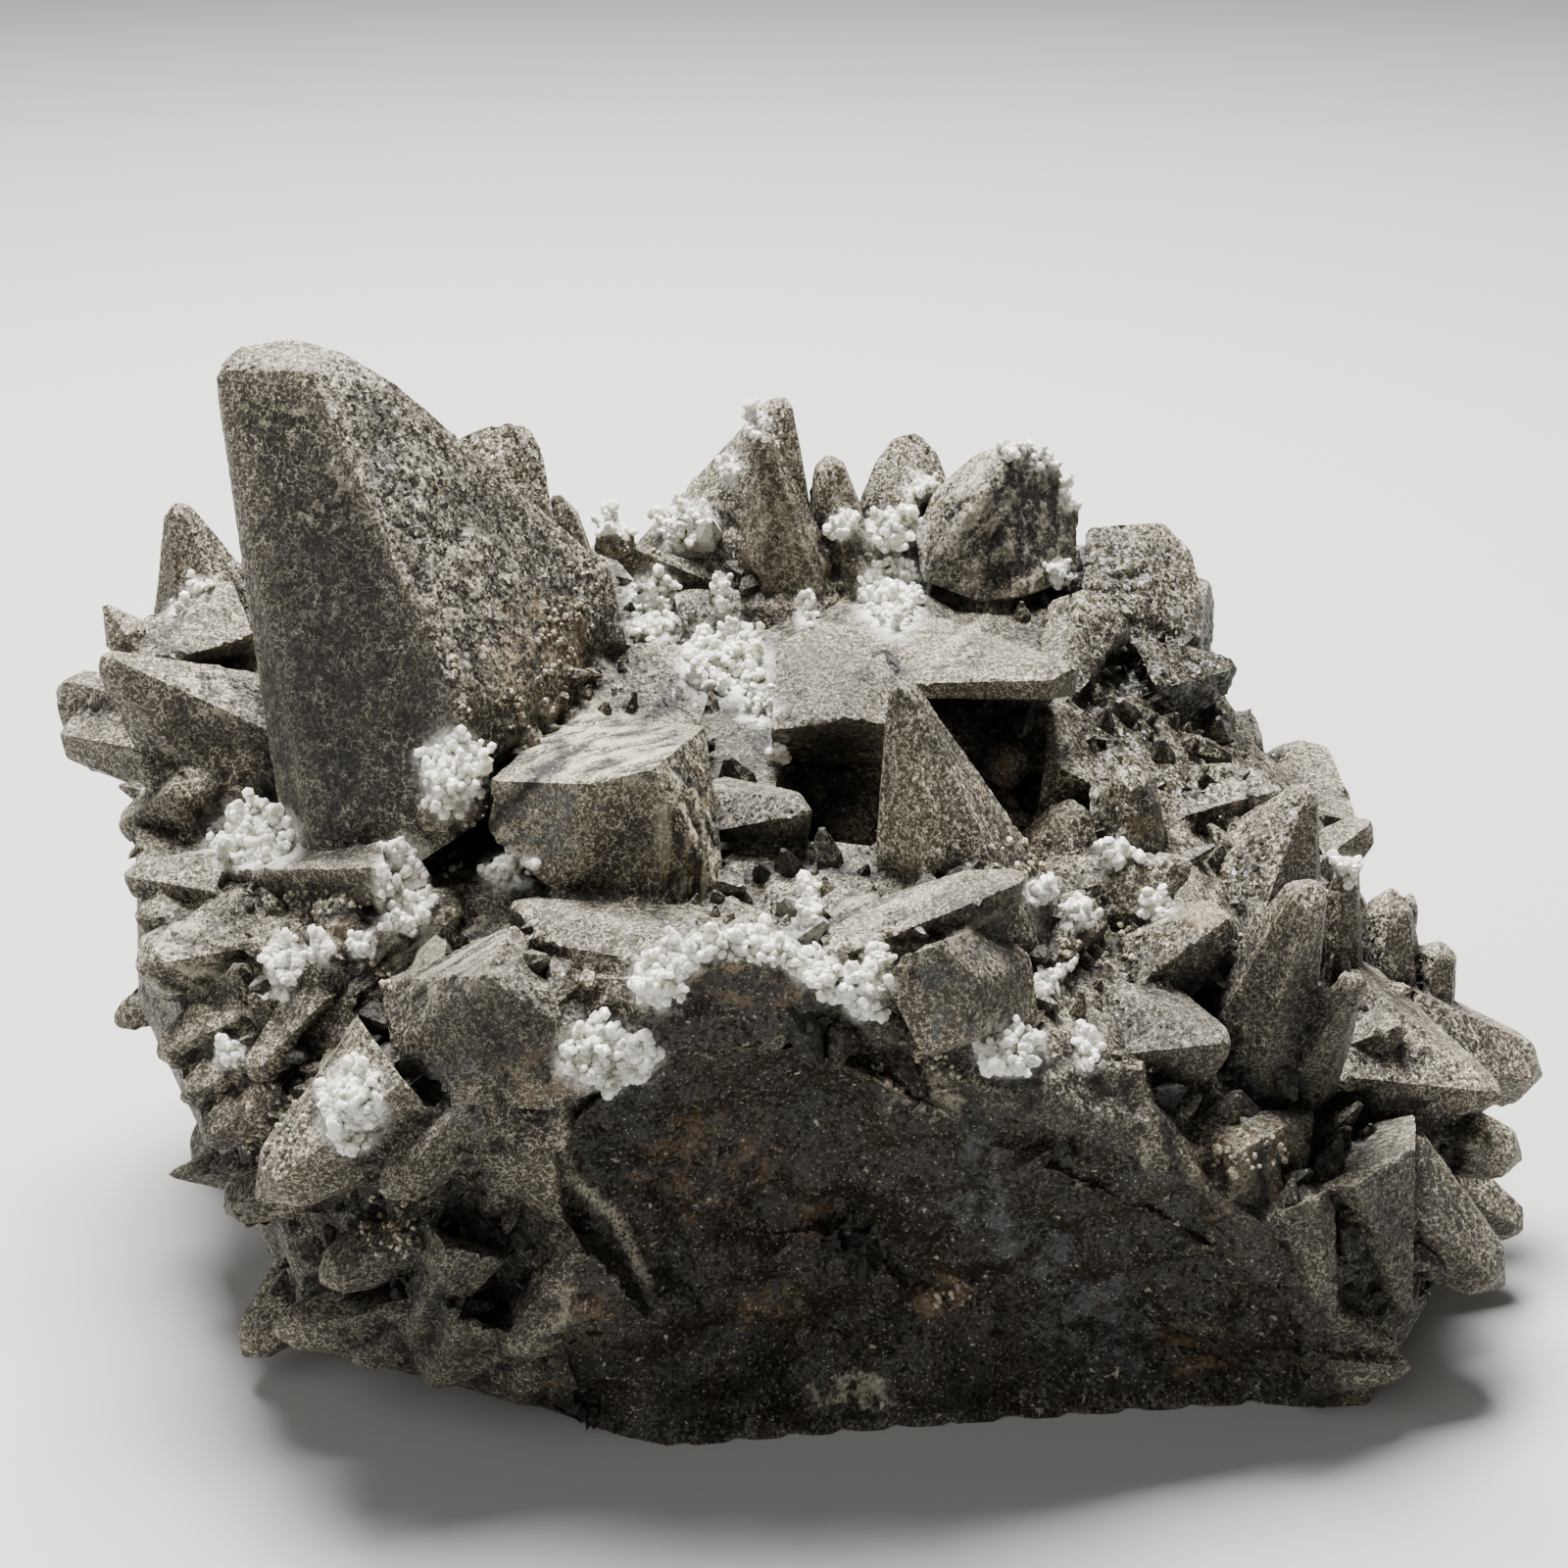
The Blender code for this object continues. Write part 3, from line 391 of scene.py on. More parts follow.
PALE_LINES = (
    ((22.4, 29.0), (24.0, 33.4), (26.4, 38.2), (28.6, 41.1), (29.3, 43.9), (29.5, 46.3)),
    ((6.9, 41.2), (11.0, 38.6), (15.6, 36.2)), ((10.3, 57.8), (10.9, 55.6), (16.0, 55.4), (24.4, 55.3)),
    ((25.0, 78.1), (28.0, 80.6), (31.2, 85.6)), ((35.6, 71.2), (36.3, 75.0), (39.1, 77.5), (41.3, 81.9)),
    ((43.8, 28.6), (44.6, 32.4), (45.2, 37.0)), ((59.2, 42.4), (64.0, 38.6), (67.6, 36.0)),
    ((57.2, 44.0), (58.2, 46.7), (58.8, 49.8), (60.0, 55.0)), ((79.0, 49.8), (78.6, 54.0), (77.2, 58.0)),
    ((84.4, 56.4), (83.0, 60.4), (81.4, 64.0)), ((34.6, 63.0), (38.0, 62.2), (41.0, 64.4)),
    ((66.6, 69.0), (68.0, 68.3), (72.8, 68.0), (73.2, 74.0)), ((89.0, 65.6), (93.0, 68.0), (95.8, 70.2)),
    ((84.2, 82.4), (83.6, 77.0), (82.8, 73.0)), ((53.0, 60.6), (57.0, 57.6), (61.6, 56.0), (65.2, 55.9)),
)
# Crevices drawn as lines: the colour along them is darkened as painted shade.
SHADED_CREVICE_LINES = (
    ((20.6, 58.2), (25.0, 57.6), (29.6, 54.6), (32.4, 51.4), (36.0, 48.0)), ((10.3, 41.4), (14.1, 42.0)),
    ((47.0, 56.4), (50.6, 55.0), (55.6, 55.8)), ((41.0, 46.0), (44.6, 43.4), (47.0, 41.2)),
    ((73.9, 68.4), (74.4, 72.0), (75.4, 75.6)), ((66.0, 68.0), (65.8, 71.6)), ((80.3, 73.6), (80.6, 76.8)),
    ((79.0, 68.6), (80.6, 70.4), (84.6, 71.0)),
)


def patch_share(across, down, patches):
    """How much of a patch lies at each point: 1 well inside one, and 0 outside all."""
    share = np.zeros(len(across))
    for middle_across, middle_down, wide, high in patches:
        out = np.hypot((across - middle_across) / wide, (down - middle_down) / high)
        share = np.maximum(share, 1.0 - smooth_step(out, 1.0 - PATCH_FADE, 1.0 + PATCH_FADE))
    return share


def near_lines(across, down, lines, reach):
    """1 on some drawn lines, fading to 0 at a reach from them."""
    share = np.zeros(len(across))
    for line in lines:
        for (a, b), (c, d) in zip(line, line[1:]):
            along = ((across - a) * (c - a) + (down - b) * (d - b)) / ((c - a) ** 2 + (d - b) ** 2)
            along = np.clip(along, 0.0, 1.0)
            off = np.hypot(across - a - along * (c - a), down - b - along * (d - b))
            share = np.maximum(share, 1.0 - smooth_step(off, 0.2 * reach, reach))
    return share


def inside_outline(across, down, outline):
    """1 for the points inside a closed outline on the frame, else 0."""
    inside = np.zeros(len(across), dtype=bool)
    for (a, b), (c, d) in zip(outline, outline[1:] + outline[:1]):
        crosses = (b > down) != (d > down)
        with np.errstate(divide="ignore", invalid="ignore"):
            inside ^= crosses & (across < (c - a) * (down - b) / (d - b) + a)
    return inside.astype(float)


print(len(SUGAR_PATCHES), "sugar patches,", len(CRUST_PATCHES), "crust patches")

# %% [markdown]
# ## Striated faces
#
# A few faces carry fine parallel growth lines. Each vertex there keeps its
# place measured in a stretched way: normal across the lines and squeezed along
# them. Noise read at those places comes out as streaks.

# %% Growth lines
STRIATED = (
    ((38.5, 47.6, 6.0, 2.4), (0.86, 0.42, -0.28), 1.0),
    ((44.3, 52.0, 2.2, 6.0), (0.1, 0.1, 1.0), 1.0),
    ((64.0, 33.0, 4.5, 5.0), (0.55, -0.2, 0.8), 1.0),
    ((28.5, 61.2, 4.6, 2.6), (0.8, 0.3, 0.45), 0.8),
    ((11.5, 61.0, 2.6, 3.6), (0.7, 0.1, -0.5), 0.8),
    ((58.0, 58.6, 6.0, 2.6), (0.85, 0.3, 0.2), 0.5),
    ((50.5, 33.0, 3.0, 6.0), (0.0, -0.2, 1.0), 0.3),
)
ALONG_SQUEEZE = 0.07


def growth_lines(places, across, down):
    """The stretched places, and how strongly each place is lined."""
    stretched = places / MM
    strength = np.zeros(len(places))
    for patch, along, amount in STRIATED:
        direction = np.array(along) / np.linalg.norm(along)
        share = patch_share(across, down, (patch,)) * amount
        mine = share > strength
        run = (places[mine] / MM) @ direction
        stretched[mine] -= run[:, None] * direction * (1.0 - ALONG_SQUEEZE)
        strength[mine] = share[mine]
    return stretched, strength


def mark(thing):
    """Stores on a mesh all that its relief and its colours depend on."""
    mesh = thing.data
    places, outward = read_points(mesh)
    across, down = seen_at(places)
    to_eye = EYE * MM - places
    to_eye /= np.linalg.norm(to_eye, axis=1)[:, None]
    faces_eye = smooth_step((outward * to_eye).sum(1), -0.35, 0.05) * in_sight(mesh)
    near, far = shelter(mesh)
    broken = inside_outline(across, down, FRACTURE_OUTLINE) * faces_eye * (places[:, 1] < BROKEN_BACK)
    broken = softened(mesh, broken, SOFT_ROUNDS)
    stretched, lined = growth_lines(places, across, down)
    sugar = patch_share(across, down, SUGAR_PATCHES) * faces_eye
    lift = smooth_step(places[:, 2] / MM, 1.5, 5.0)
    plain = np.maximum(patch_share(across, down, PLAIN_PATCHES) * faces_eye, 0.75 * (1.0 - faces_eye))
    crowd = np.maximum(smooth_step(far, 0.35, 1.2), plain * smooth_step(far, -0.25, 0.35))
    store(mesh, "crowd", crowd * (1.0 - broken) * (1.0 - sugar) * lift)
    store(mesh, "pale_line", near_lines(across, down, PALE_LINES, PALE_REACH) * faces_eye)
    # Painted shade along the drawn crevices.
    store(mesh, "dark_line", near_lines(across, down, SHADED_CREVICE_LINES, CREVICE_SHADE_REACH) * faces_eye)
    store(mesh, "nook", smooth_step(far, -0.15, 1.1))
    store(mesh, "edge", smooth_step(-near, 0.012, 0.10) * (1.0 - broken))
    store(mesh, "tip", smooth_step(-far, 0.9, 2.6))
    store(mesh, "up", smooth_step(outward[:, 2], -0.1, 0.95))
    store(mesh, "broken", broken)
    store(mesh, "stretched", stretched)
    store(mesh, "lined", lined * faces_eye)
    # The dark patches hold painted shade and the light patches hold painted light.
    for name, patches in (
        ("sugar", SUGAR_PATCHES), ("crust", CRUST_PATCHES), ("tan", TAN_PATCHES),
        ("blue", BLUE_PATCHES), ("dark", SHADED_PATCHES), ("light", LIT_PATCHES),
        ("scaly", SCALE_PATCHES), ("rust", RUST_PATCHES), ("chalk", CHALK_PATCHES),
    ):
        store(mesh, name, patch_share(across, down, patches) * faces_eye)


mark(stone)
print("marked", len(stone.data.vertices), "vertices")

# %% [markdown]
# ## Building node trees
#
# The relief and the materials are node trees. These few helpers add a node, fill
# its sockets and link it, so that each tree reads as a short recipe. They work
# the same in a geometry tree and in a material.

# %% Helpers for node trees
def fill(tree, socket, value):
    """Links a socket to another node's output, or sets its value."""
    if isinstance(value, bpy.types.NodeSocket):
        tree.links.new(value, socket)
    else:
        socket.default_value = value


def add(tree, kind, settings=None, **sockets):
    """A node with its settings made and its sockets filled, named with underscores for spaces."""
    made = tree.nodes.new(kind)
    for name, value in (settings or {}).items():
        setattr(made, name, value)
    for name, value in sockets.items():
        fill(tree, made.inputs[name.replace("_", " ")], value)
    return made


def maths(tree, operation, *values):
    """A sum worked out on plain numbers."""
    made = add(tree, "ShaderNodeMath", {"operation": operation})
    for socket, value in zip(made.inputs, values):
        fill(tree, socket, value)
    return made.outputs[0]


def times(tree, *values):
    """The product of several numbers."""
    product = values[0]
    for value in values[1:]:
        product = maths(tree, "MULTIPLY", product, value)
    return product


def step(tree, value, low, high, bottom=0.0, top=1.0):
    """A soft step from a bottom value to a top one, as the input goes from low to high."""
    return add(
        tree, "ShaderNodeMapRange", {"interpolation_type": "SMOOTHSTEP"}, Value=value, From_Min=low,
        From_Max=high, To_Min=bottom, To_Max=top,
    ).outputs["Result"]


def clouds(tree, vector, per_mm, detail=3.0, roughness=0.55):
    """Soft random noise with that many waves in a millimetre, around 0.5."""
    return add(
        tree, "ShaderNodeTexNoise", None, Vector=vector, Scale=per_mm, Detail=detail, Roughness=roughness,
    ).outputs[0]


def cells(tree, vector, per_mm, distance="EUCLIDEAN"):
    """How far each place is from the middle of its random cell, in cells."""
    settings = {"feature": "F1", "distance": distance}
    return add(tree, "ShaderNodeTexVoronoi", settings, Vector=vector, Scale=per_mm).outputs["Distance"]


def vectors(tree, operation, *values):
    """A sum worked out on vectors."""
    made = add(tree, "ShaderNodeVectorMath", {"operation": operation})
    for socket, value in zip(made.inputs, values):
        fill(tree, socket, value)
    return made.outputs["Value" if operation == "DOT_PRODUCT" else "Vector"]


def scaled(tree, vector, amount):
    """A vector made longer or shorter."""
    made = add(tree, "ShaderNodeVectorMath", {"operation": "SCALE"}, Scale=amount)
    fill(tree, made.inputs[0], vector)
    return made.outputs[0]


def bent(tree, vector, per_mm, reach):
    """Places shifted this way and that, so that a regular pattern leans differently everywhere."""
    noise = add(tree, "ShaderNodeTexNoise", None, Vector=vector, Scale=per_mm, Detail=1.0)
    shift = vectors(tree, "SUBTRACT", noise.outputs["Color"], (0.5, 0.5, 0.5))
    return vectors(tree, "ADD", vector, scaled(tree, shift, reach))


def in_mm(tree, vector):
    """A place in metres turned to millimetres."""
    return scaled(tree, vector, 1.0 / MM)


def geometry_tree(name, numbers):
    """A geometry tree with a mesh in and out, and a named number input for each size."""
    tree = bpy.data.node_groups.new(name, "GeometryNodeTree")
    tree.interface.new_socket("Geometry", in_out="INPUT", socket_type="NodeSocketGeometry")
    for label, value in numbers.items():
        whole = isinstance(value, int)
        kind = "NodeSocketInt" if whole else "NodeSocketFloat"
        tree.interface.new_socket(label, in_out="INPUT", socket_type=kind).default_value = value
    tree.interface.new_socket("Material", in_out="INPUT", socket_type="NodeSocketMaterial")
    tree.interface.new_socket("Geometry", in_out="OUTPUT", socket_type="NodeSocketGeometry")
    return tree, tree.nodes.new("NodeGroupInput").outputs, tree.nodes.new("NodeGroupOutput").inputs


def dressed_tree(tree, given, out, shape):
    """Gives the finished shape its material and sends it out of the tree."""
    dressed = add(tree, "GeometryNodeSetMaterial", None, Geometry=shape, Material=given["Material"])
    fill(tree, out["Geometry"], dressed.outputs[0])
    return tree


def kept(tree, name, kind="FLOAT"):
    """A number or vector kept on the vertices, read inside a geometry tree."""
    return add(tree, "GeometryNodeInputNamedAttribute", {"data_type": kind}, Name=name).outputs["Attribute"]


def by_chance(tree, kind, seed, low, high):
    """A random number or vector between two limits, another one for each point or instance."""
    settings = {"data_type": kind}
    return add(tree, "FunctionNodeRandomValue", settings, Seed=seed, Min=low, Max=high).outputs["Value"]


def run_tree(thing, tree, material, **numbers):
    """Runs a geometry tree on an object and keeps the result as a plain mesh."""
    modifier = thing.modifiers.new(tree.name, "NODES")
    modifier.node_group = tree
    chosen = {**numbers, "Material": material}
    for item in tree.interface.items_tree:
        if item.in_out == "INPUT" and item.name in chosen:
            modifier[item.identifier] = chosen[item.name]
    return settled(thing)


# %% [markdown]
# ## The stone's relief
#
# Real frosted calcite is never smooth. Its faces undulate, they are covered in
# grains, the lined faces have ridges, a thin pale crust lies in flakes on the
# great crystal, and the broken face in front is all broad waves and hackly
# steps. All of this is real shape, pushed in and out along the surface by a
# geometry tree. It dies away towards the foot, so that the foot stays flat.

# %% The relief tree
LINE_NOISE = (1.1, 3.0)
FLAKE_NOISE = (1.0, 5.0, 0.62)
FOOT_FADE = 1.6


def relief_tree():
    """Pushes a surface in and out: lumps, grains, growth lines, flakes, broken steps, teeth, scales."""
    sizes = {
        "Lumps": 0.16, "Grains": 0.11, "Lines": 0.20, "Flakes": 0.14, "Steps": 2.4, "Teeth": 0.42,
        "Scales": 0.32, "Crust": 0.26,
    }
    tree, given, out = geometry_tree("stone_relief", sizes)
    place = in_mm(tree, tree.nodes.new("GeometryNodeInputPosition").outputs[0])
    broken = kept(tree, "broken")
    nook = kept(tree, "nook")
    lumps = maths(tree, "SUBTRACT", clouds(tree, place, 0.45, 3.0), 0.5)
    lumps = times(tree, lumps, given["Lumps"], maths(tree, "MULTIPLY_ADD", nook, 2.6, 1.2))
    grains = maths(tree, "SUBTRACT", clouds(tree, place, 1.5, 4.0, 0.65), 0.5)
    grains = times(tree, grains, given["Grains"], maths(tree, "MULTIPLY_ADD", nook, 1.6, 1.6))
    streaks = clouds(tree, kept(tree, "stretched", "FLOAT_VECTOR"), *LINE_NOISE)
    streaks = maths(tree, "SUBTRACT", streaks, 0.5)
    lines = times(tree, streaks, given["Lines"], kept(tree, "lined"), 2.2)
    flakes = step(tree, clouds(tree, place, *FLAKE_NOISE), 0.565, 0.590)
    flakes = times(tree, flakes, given["Flakes"], kept(tree, "crust"))
    hackle = maths(tree, "SUBTRACT", clouds(tree, place, 0.24, 5.0, 0.68), 0.5)
    waves = maths(tree, "SUBTRACT", clouds(tree, place, 0.09, 2.0), 0.56)
    chips = maths(tree, "SUBTRACT", 0.35, cells(tree, place, 0.28))
    steps = maths(tree, "ADD", maths(tree, "MULTIPLY_ADD", waves, 2.0, hackle), times(tree, chips, 0.55))
    steps = times(tree, steps, given["Steps"], broken)
    leaning = bent(tree, place, 0.16, 5.0)
    teeth = maths(tree, "SUBTRACT", 0.42, cells(tree, leaning, 0.40, "MANHATTAN"))
    small_teeth = maths(tree, "SUBTRACT", 0.42, cells(tree, leaning, 0.85, "MANHATTAN"))
    teeth = maths(tree, "MULTIPLY_ADD", small_teeth, 0.4, teeth)
    teeth = times(tree, teeth, given["Teeth"], kept(tree, "crowd"), 2.0)
    scales = maths(tree, "SUBTRACT", 0.5, cells(tree, leaning, 0.95))
    scales = times(tree, scales, given["Scales"], kept(tree, "scaly"), 2.0)
    crust = step(tree, clouds(tree, place, 1.2, 3.0), 0.40, 0.62)
    crust = times(tree, crust, given["Crust"], kept(tree, "pale_line"))
    total = lumps
    for part in (grains, lines, flakes, steps, teeth, scales, crust):
        total = maths(tree, "ADD", total, part)
    height = add(tree, "ShaderNodeSeparateXYZ", None, Vector=place).outputs["Z"]
    total = times(tree, total, step(tree, height, 0.0, FOOT_FADE, 0.12, 1.0))
    outward = tree.nodes.new("GeometryNodeInputNormal").outputs[0]
    push = scaled(tree, outward, times(tree, total, MM))
    moved = add(tree, "GeometryNodeSetPosition", None, Geometry=given["Geometry"], Offset=push)
    return dressed_tree(tree, given, out, moved.outputs[0])


stone_finish = bpy.data.materials.new("frosted_calcite")
run_tree(stone, relief_tree(), stone_finish)
print("relief laid on", triangle_count(stone), "triangles")

# %% [markdown]
# ## Fewer triangles where it is flat
#
# A Decimate modifier keeps the relief and takes triangles out of the smoother
# places. The foot is then pressed flat, so that the stone stands on it.

# %% Thinning the skin
STONE_TRIANGLES = 196000
CRISP = math.radians(38.0)

thin = stone.modifiers.new("thin", "DECIMATE")
thin.ratio = STONE_TRIANGLES / triangle_count(stone)
settled(stone)
keep_in_box(stone.data)
mark(stone)
store(stone.data, "open", openness(stone.data))
stone.data.shade_smooth()
stone.data.set_sharp_from_angle(angle=CRISP)
print("stone", triangle_count(stone), "triangles")

# %% [markdown]
# ## Finding the surface
#
# Grains have to touch the stone. A tree of all its faces answers where a line
# from the eye first meets it, and which way it faces there.

# %% Planting on the surface
ground = surface_tree(stone.data)


def planted(across, down):
    """Where a sight line meets the stone and which way it faces, or None where it misses."""
    place, outward = ground.ray_cast(Vector(EYE), Vector(sight_ray(across, down)))[:2]
    return (np.array(place), np.array(outward)) if place else None


print("searching", len(stone.data.polygons), "faces")

# %% [markdown]
# ## White sugary calcite
#
# The white druse is made of tiny angular grains, about half a millimetre each,
# that grew on one another in short strings. Seeds are planted in each patch and
# grow upward, bead by bead: each bead is only a middle and a radius so far.

# %% Growing the strings of beads
BEAD = (0.19, 0.40)
SEEDS_PER_MM2 = 5.6
STRING = (1, 5)
BEAD_STEP = 1.15
LEAST_SEEDS = 3
rng = random.Random(5)


def grow_beads(patches, per_mm2, sizes, string):
    """Grows strings of beads in some patches: the middle and radius of each, in millimetres."""
    beads = []
    for across, down, wide, high in patches:
        for seed in range(max(LEAST_SEEDS, round(math.pi * wide * high * per_mm2))):
            angle, out = rng.uniform(0, math.tau), math.sqrt(rng.random())
            found = planted(across + wide * out * math.cos(angle), down + high * out * math.sin(angle))
            if found is None:
                continue
            place, outward = found
            radius = rng.uniform(*sizes)
            for bead in range(rng.randint(*string)):
                beads.append((*place, radius))
                sway = np.array([rng.uniform(-1, 1) for axis in range(3)])
                heading = outward * 0.5 + sway * 0.9 + np.array((0, 0, 0.35))
                place = place + heading / np.linalg.norm(heading) * radius * BEAD_STEP
                radius = max(sizes[0], radius * rng.uniform(0.75, 1.1))
    return np.array(beads)


beads = grow_beads(SUGAR_PATCHES, SEEDS_PER_MM2, BEAD, STRING)
print(len(beads), "beads")

# %% [markdown]
# ## A grain on every bead
#
# A geometry tree sets an uneven twenty-sided grain on every bead, turned its own
# way, and each one overlaps its neighbours a little.

# %% Setting grains on the beads
FULL_TURN = (math.tau, math.tau, math.tau)


def grain_tree():
    """Sets one uneven twenty-sided grain on every point."""
    tree, given, out = geometry_tree("sugar_grains", {"Unevenness": 0.32, "Seed": 3})
    ball = add(tree, "GeometryNodeMeshIcoSphere", None, Radius=1.1, Subdivisions=1)
    least = maths(tree, "SUBTRACT", 1.0, given["Unevenness"])
    most = maths(tree, "ADD", 1.0, given["Unevenness"])
    uneven = by_chance(tree, "FLOAT_VECTOR", given["Seed"], least, most)
    grains = add(
        tree, "GeometryNodeInstanceOnPoints", None, Points=given["Geometry"], Instance=ball.outputs[0],
        Rotation=by_chance(tree, "FLOAT_VECTOR", given["Seed"], (0.0, 0.0, 0.0), FULL_TURN),
        Scale=scaled(tree, uneven, kept(tree, "radius")),
    )
    real = add(tree, "GeometryNodeRealizeInstances", None, Geometry=grains.outputs[0])
    return dressed_tree(tree, given, out, real.outputs[0])


def set_grains(name, beads, tree, material, **numbers):
    """An object with a grain on every bead."""
    points = bpy.data.meshes.new(name)
    points.from_pydata((beads[:, :3] * MM).tolist(), [], [])
    store(points, "radius", beads[:, 3] * MM)
    return run_tree(new_object(name, points), tree, material, **numbers)


sugar_finish = bpy.data.materials.new("white_sugar")
grains = grain_tree()
sugar = set_grains("sugar", beads, grains, sugar_finish)
sugar.data.shade_flat()
print("sugar", triangle_count(sugar), "triangles")

# %% [markdown]
# ## Tan crumbs
#
# Along the great crystal's lower edge runs a seam of fine tan crumbs, and more
# lie in a few broken places. They are single, uneven grains. The tree that set
# the sugar's grains sets these too, with its Unevenness turned up.

# %% Setting the crumbs
CRUMB_PATCHES = (
    (35.4, 41.6, 1.3, 3.8), (37.4, 38.0, 0.9, 2.4), (32.6, 45.2, 1.4, 1.2), (29.2, 42.6, 0.5, 1.4),
    (29.5, 45.4, 0.5, 1.4), (79.6, 73.6, 2.6, 1.6), (30.0, 52.0, 1.4, 1.0), (28.4, 55.0, 1.2, 1.2),
    (20.0, 57.6, 5.0, 0.7), (24.0, 62.4, 1.6, 1.0), (60.6, 82.6, 1.6, 1.0), (40.4, 35.6, 2.0, 0.8),
    (17.4, 72.0, 2.0, 3.0), (25.0, 78.0, 2.0, 2.4), (66.0, 54.6, 3.0, 1.2), (70.0, 60.0, 3.0, 1.6),
    (58.6, 68.4, 3.2, 1.4),
)
CRUMB = (0.09, 0.26)
CRUMBS_PER_MM2 = 3.4

crumb_finish = bpy.data.materials.new("tan_crumb")
crumb_beads = grow_beads(CRUMB_PATCHES, CRUMBS_PER_MM2, CRUMB, (1, 1))
crumbs = set_grains("crumbs", crumb_beads, grains, crumb_finish, Unevenness=0.42)
crumbs.data.shade_flat()
print("crumbs", triangle_count(crumbs), "triangles")

# %% [markdown]
# ## Small crystals
#
# Between the large crystals the rock is crowded with small ones, one to four
# millimetres long. A geometry tree scatters points where the stone is crowded,
# sets a six-sided tooth with a shoulder on each and leans it at random. A number
# kept on each tooth lets the material tint it a little differently.

# %% Scattering small crystals
MOST_PER_M2 = 1100000.0
SQUAT_SEED = 21
TINT_SEED = 9


def crystal_tree():
    """Scatters small tapering crystals over a surface, most where it is sheltered."""
    numbers = {
        "Spacing": 1.5 * MM, "Shortest": 1.0 * MM, "Longest": 3.6 * MM, "Shoulder": 1.45, "Lean": 0.5,
        "Seed": 4,
    }
    tree, given, out = geometry_tree("small_crystals", numbers)
    spots = add(
        tree, "GeometryNodeDistributePointsOnFaces", {"distribute_method": "POISSON"},
        Mesh=given["Geometry"], Distance_Min=given["Spacing"], Density_Max=MOST_PER_M2, Seed=given["Seed"],
    )
    fill(tree, spots.inputs["Density Factor"], kept(tree, "crowd"))
    tooth = add(
        tree, "GeometryNodeMeshCone", None, Vertices=6, Side_Segments=2, Radius_Top=0.07,
        Radius_Bottom=0.34, Depth=1.0,
    )
    rest = tree.nodes.new("GeometryNodeInputPosition").outputs[0]
    height = add(tree, "ShaderNodeSeparateXYZ", None, Vector=rest).outputs["Z"]
    ring = maths(tree, "COMPARE", height, 0.5, 0.1)
    widened = maths(tree, "MULTIPLY_ADD", ring, maths(tree, "SUBTRACT", given["Shoulder"], 1.0), 1.0)
    wide = add(tree, "ShaderNodeCombineXYZ", None, X=widened, Y=widened, Z=1.0).outputs[0]
    shaped = add(
        tree, "GeometryNodeSetPosition", None, Geometry=tooth.outputs[0],
        Position=vectors(tree, "MULTIPLY", rest, wide),
    )
    sunk = add(tree, "GeometryNodeTransform", None, Geometry=shaped.outputs[0], Translation=(0, 0, -0.35))
    back = maths(tree, "MULTIPLY", given["Lean"], -1.0)
    lean = by_chance(tree, "FLOAT_VECTOR", given["Seed"], back, given["Lean"])
    heading = vectors(tree, "ADD", spots.outputs["Normal"], lean)
    turned = add(tree, "FunctionNodeAlignRotationToVector", {"axis": "Z"}, Vector=heading)
    luck = by_chance(tree, "FLOAT", given["Seed"], 0.0, 1.0)
    length = maths(tree, "SUBTRACT", given["Longest"], given["Shortest"])
    length = maths(tree, "MULTIPLY_ADD", maths(tree, "POWER", luck, 2.5), length, given["Shortest"])
    wide = times(tree, length, by_chance(tree, "FLOAT", SQUAT_SEED, 0.75, 1.5))
    size = add(tree, "ShaderNodeCombineXYZ", None, X=wide, Y=length, Z=length)
    teeth = add(
        tree, "GeometryNodeInstanceOnPoints", None, Points=spots.outputs["Points"],
        Instance=sunk.outputs[0], Rotation=turned.outputs[0], Scale=size.outputs[0],
    )
    tinted = add(
        tree, "GeometryNodeStoreNamedAttribute", {"data_type": "FLOAT", "domain": "INSTANCE"},
        Geometry=teeth.outputs[0], Name="tint", Value=by_chance(tree, "FLOAT", TINT_SEED, 0.0, 1.0),
    )
    real = add(tree, "GeometryNodeRealizeInstances", None, Geometry=tinted.outputs[0])
    return dressed_tree(tree, given, out, real.outputs[0])


small_finish = bpy.data.materials.new("small_crystal")
small = new_object("small_crystals", stone.data.copy())
run_tree(small, crystal_tree(), small_finish)
small.data.shade_flat()
print("small crystals", triangle_count(small), "triangles")

# %% [markdown]
# ## The stone's colours
#
# Up close the frosted surface is dark brown-grey, sown with pale specks and with
# thin curling threads a fraction of a millimetre wide, partly pale grains and partly
# painted glints. What faces up is lighter, partly frost and partly painted light from
# above. Edges and tips are paler, partly wear and crust and partly painted highlight.
# The lit patches carry painted light and the shaded patches painted shade, hollows and
# crevices are painted nearly black as shade, and patches are tan, rusty or bluish. The
# material mixes these by noise and by the numbers kept on the vertices. Fine bumps,
# too small to model, give the grainy sparkle.

# %% Mixing colours
DEEP = (0.0050, 0.0042, 0.0030, 1.0)
BROWN = (0.0110, 0.0084, 0.0050, 1.0)
GREY = (0.025, 0.0200, 0.0132, 1.0)
PALE = (0.430, 0.390, 0.290, 1.0)
FROST_AND_LIT_TONE = (0.080, 0.067, 0.047, 1.0)
TAN = (0.150, 0.110, 0.062, 1.0)
RUST = (0.090, 0.057, 0.027, 1.0)
BLUISH = (0.072, 0.076, 0.077, 1.0)
WHITE = (0.840, 0.825, 0.750, 1.0)
GRAINS_PER_MM = 5.5
THREADS = (1.7, 0.024)
STONE_SHINE = 0.24
CALCITE_IOR = 1.56


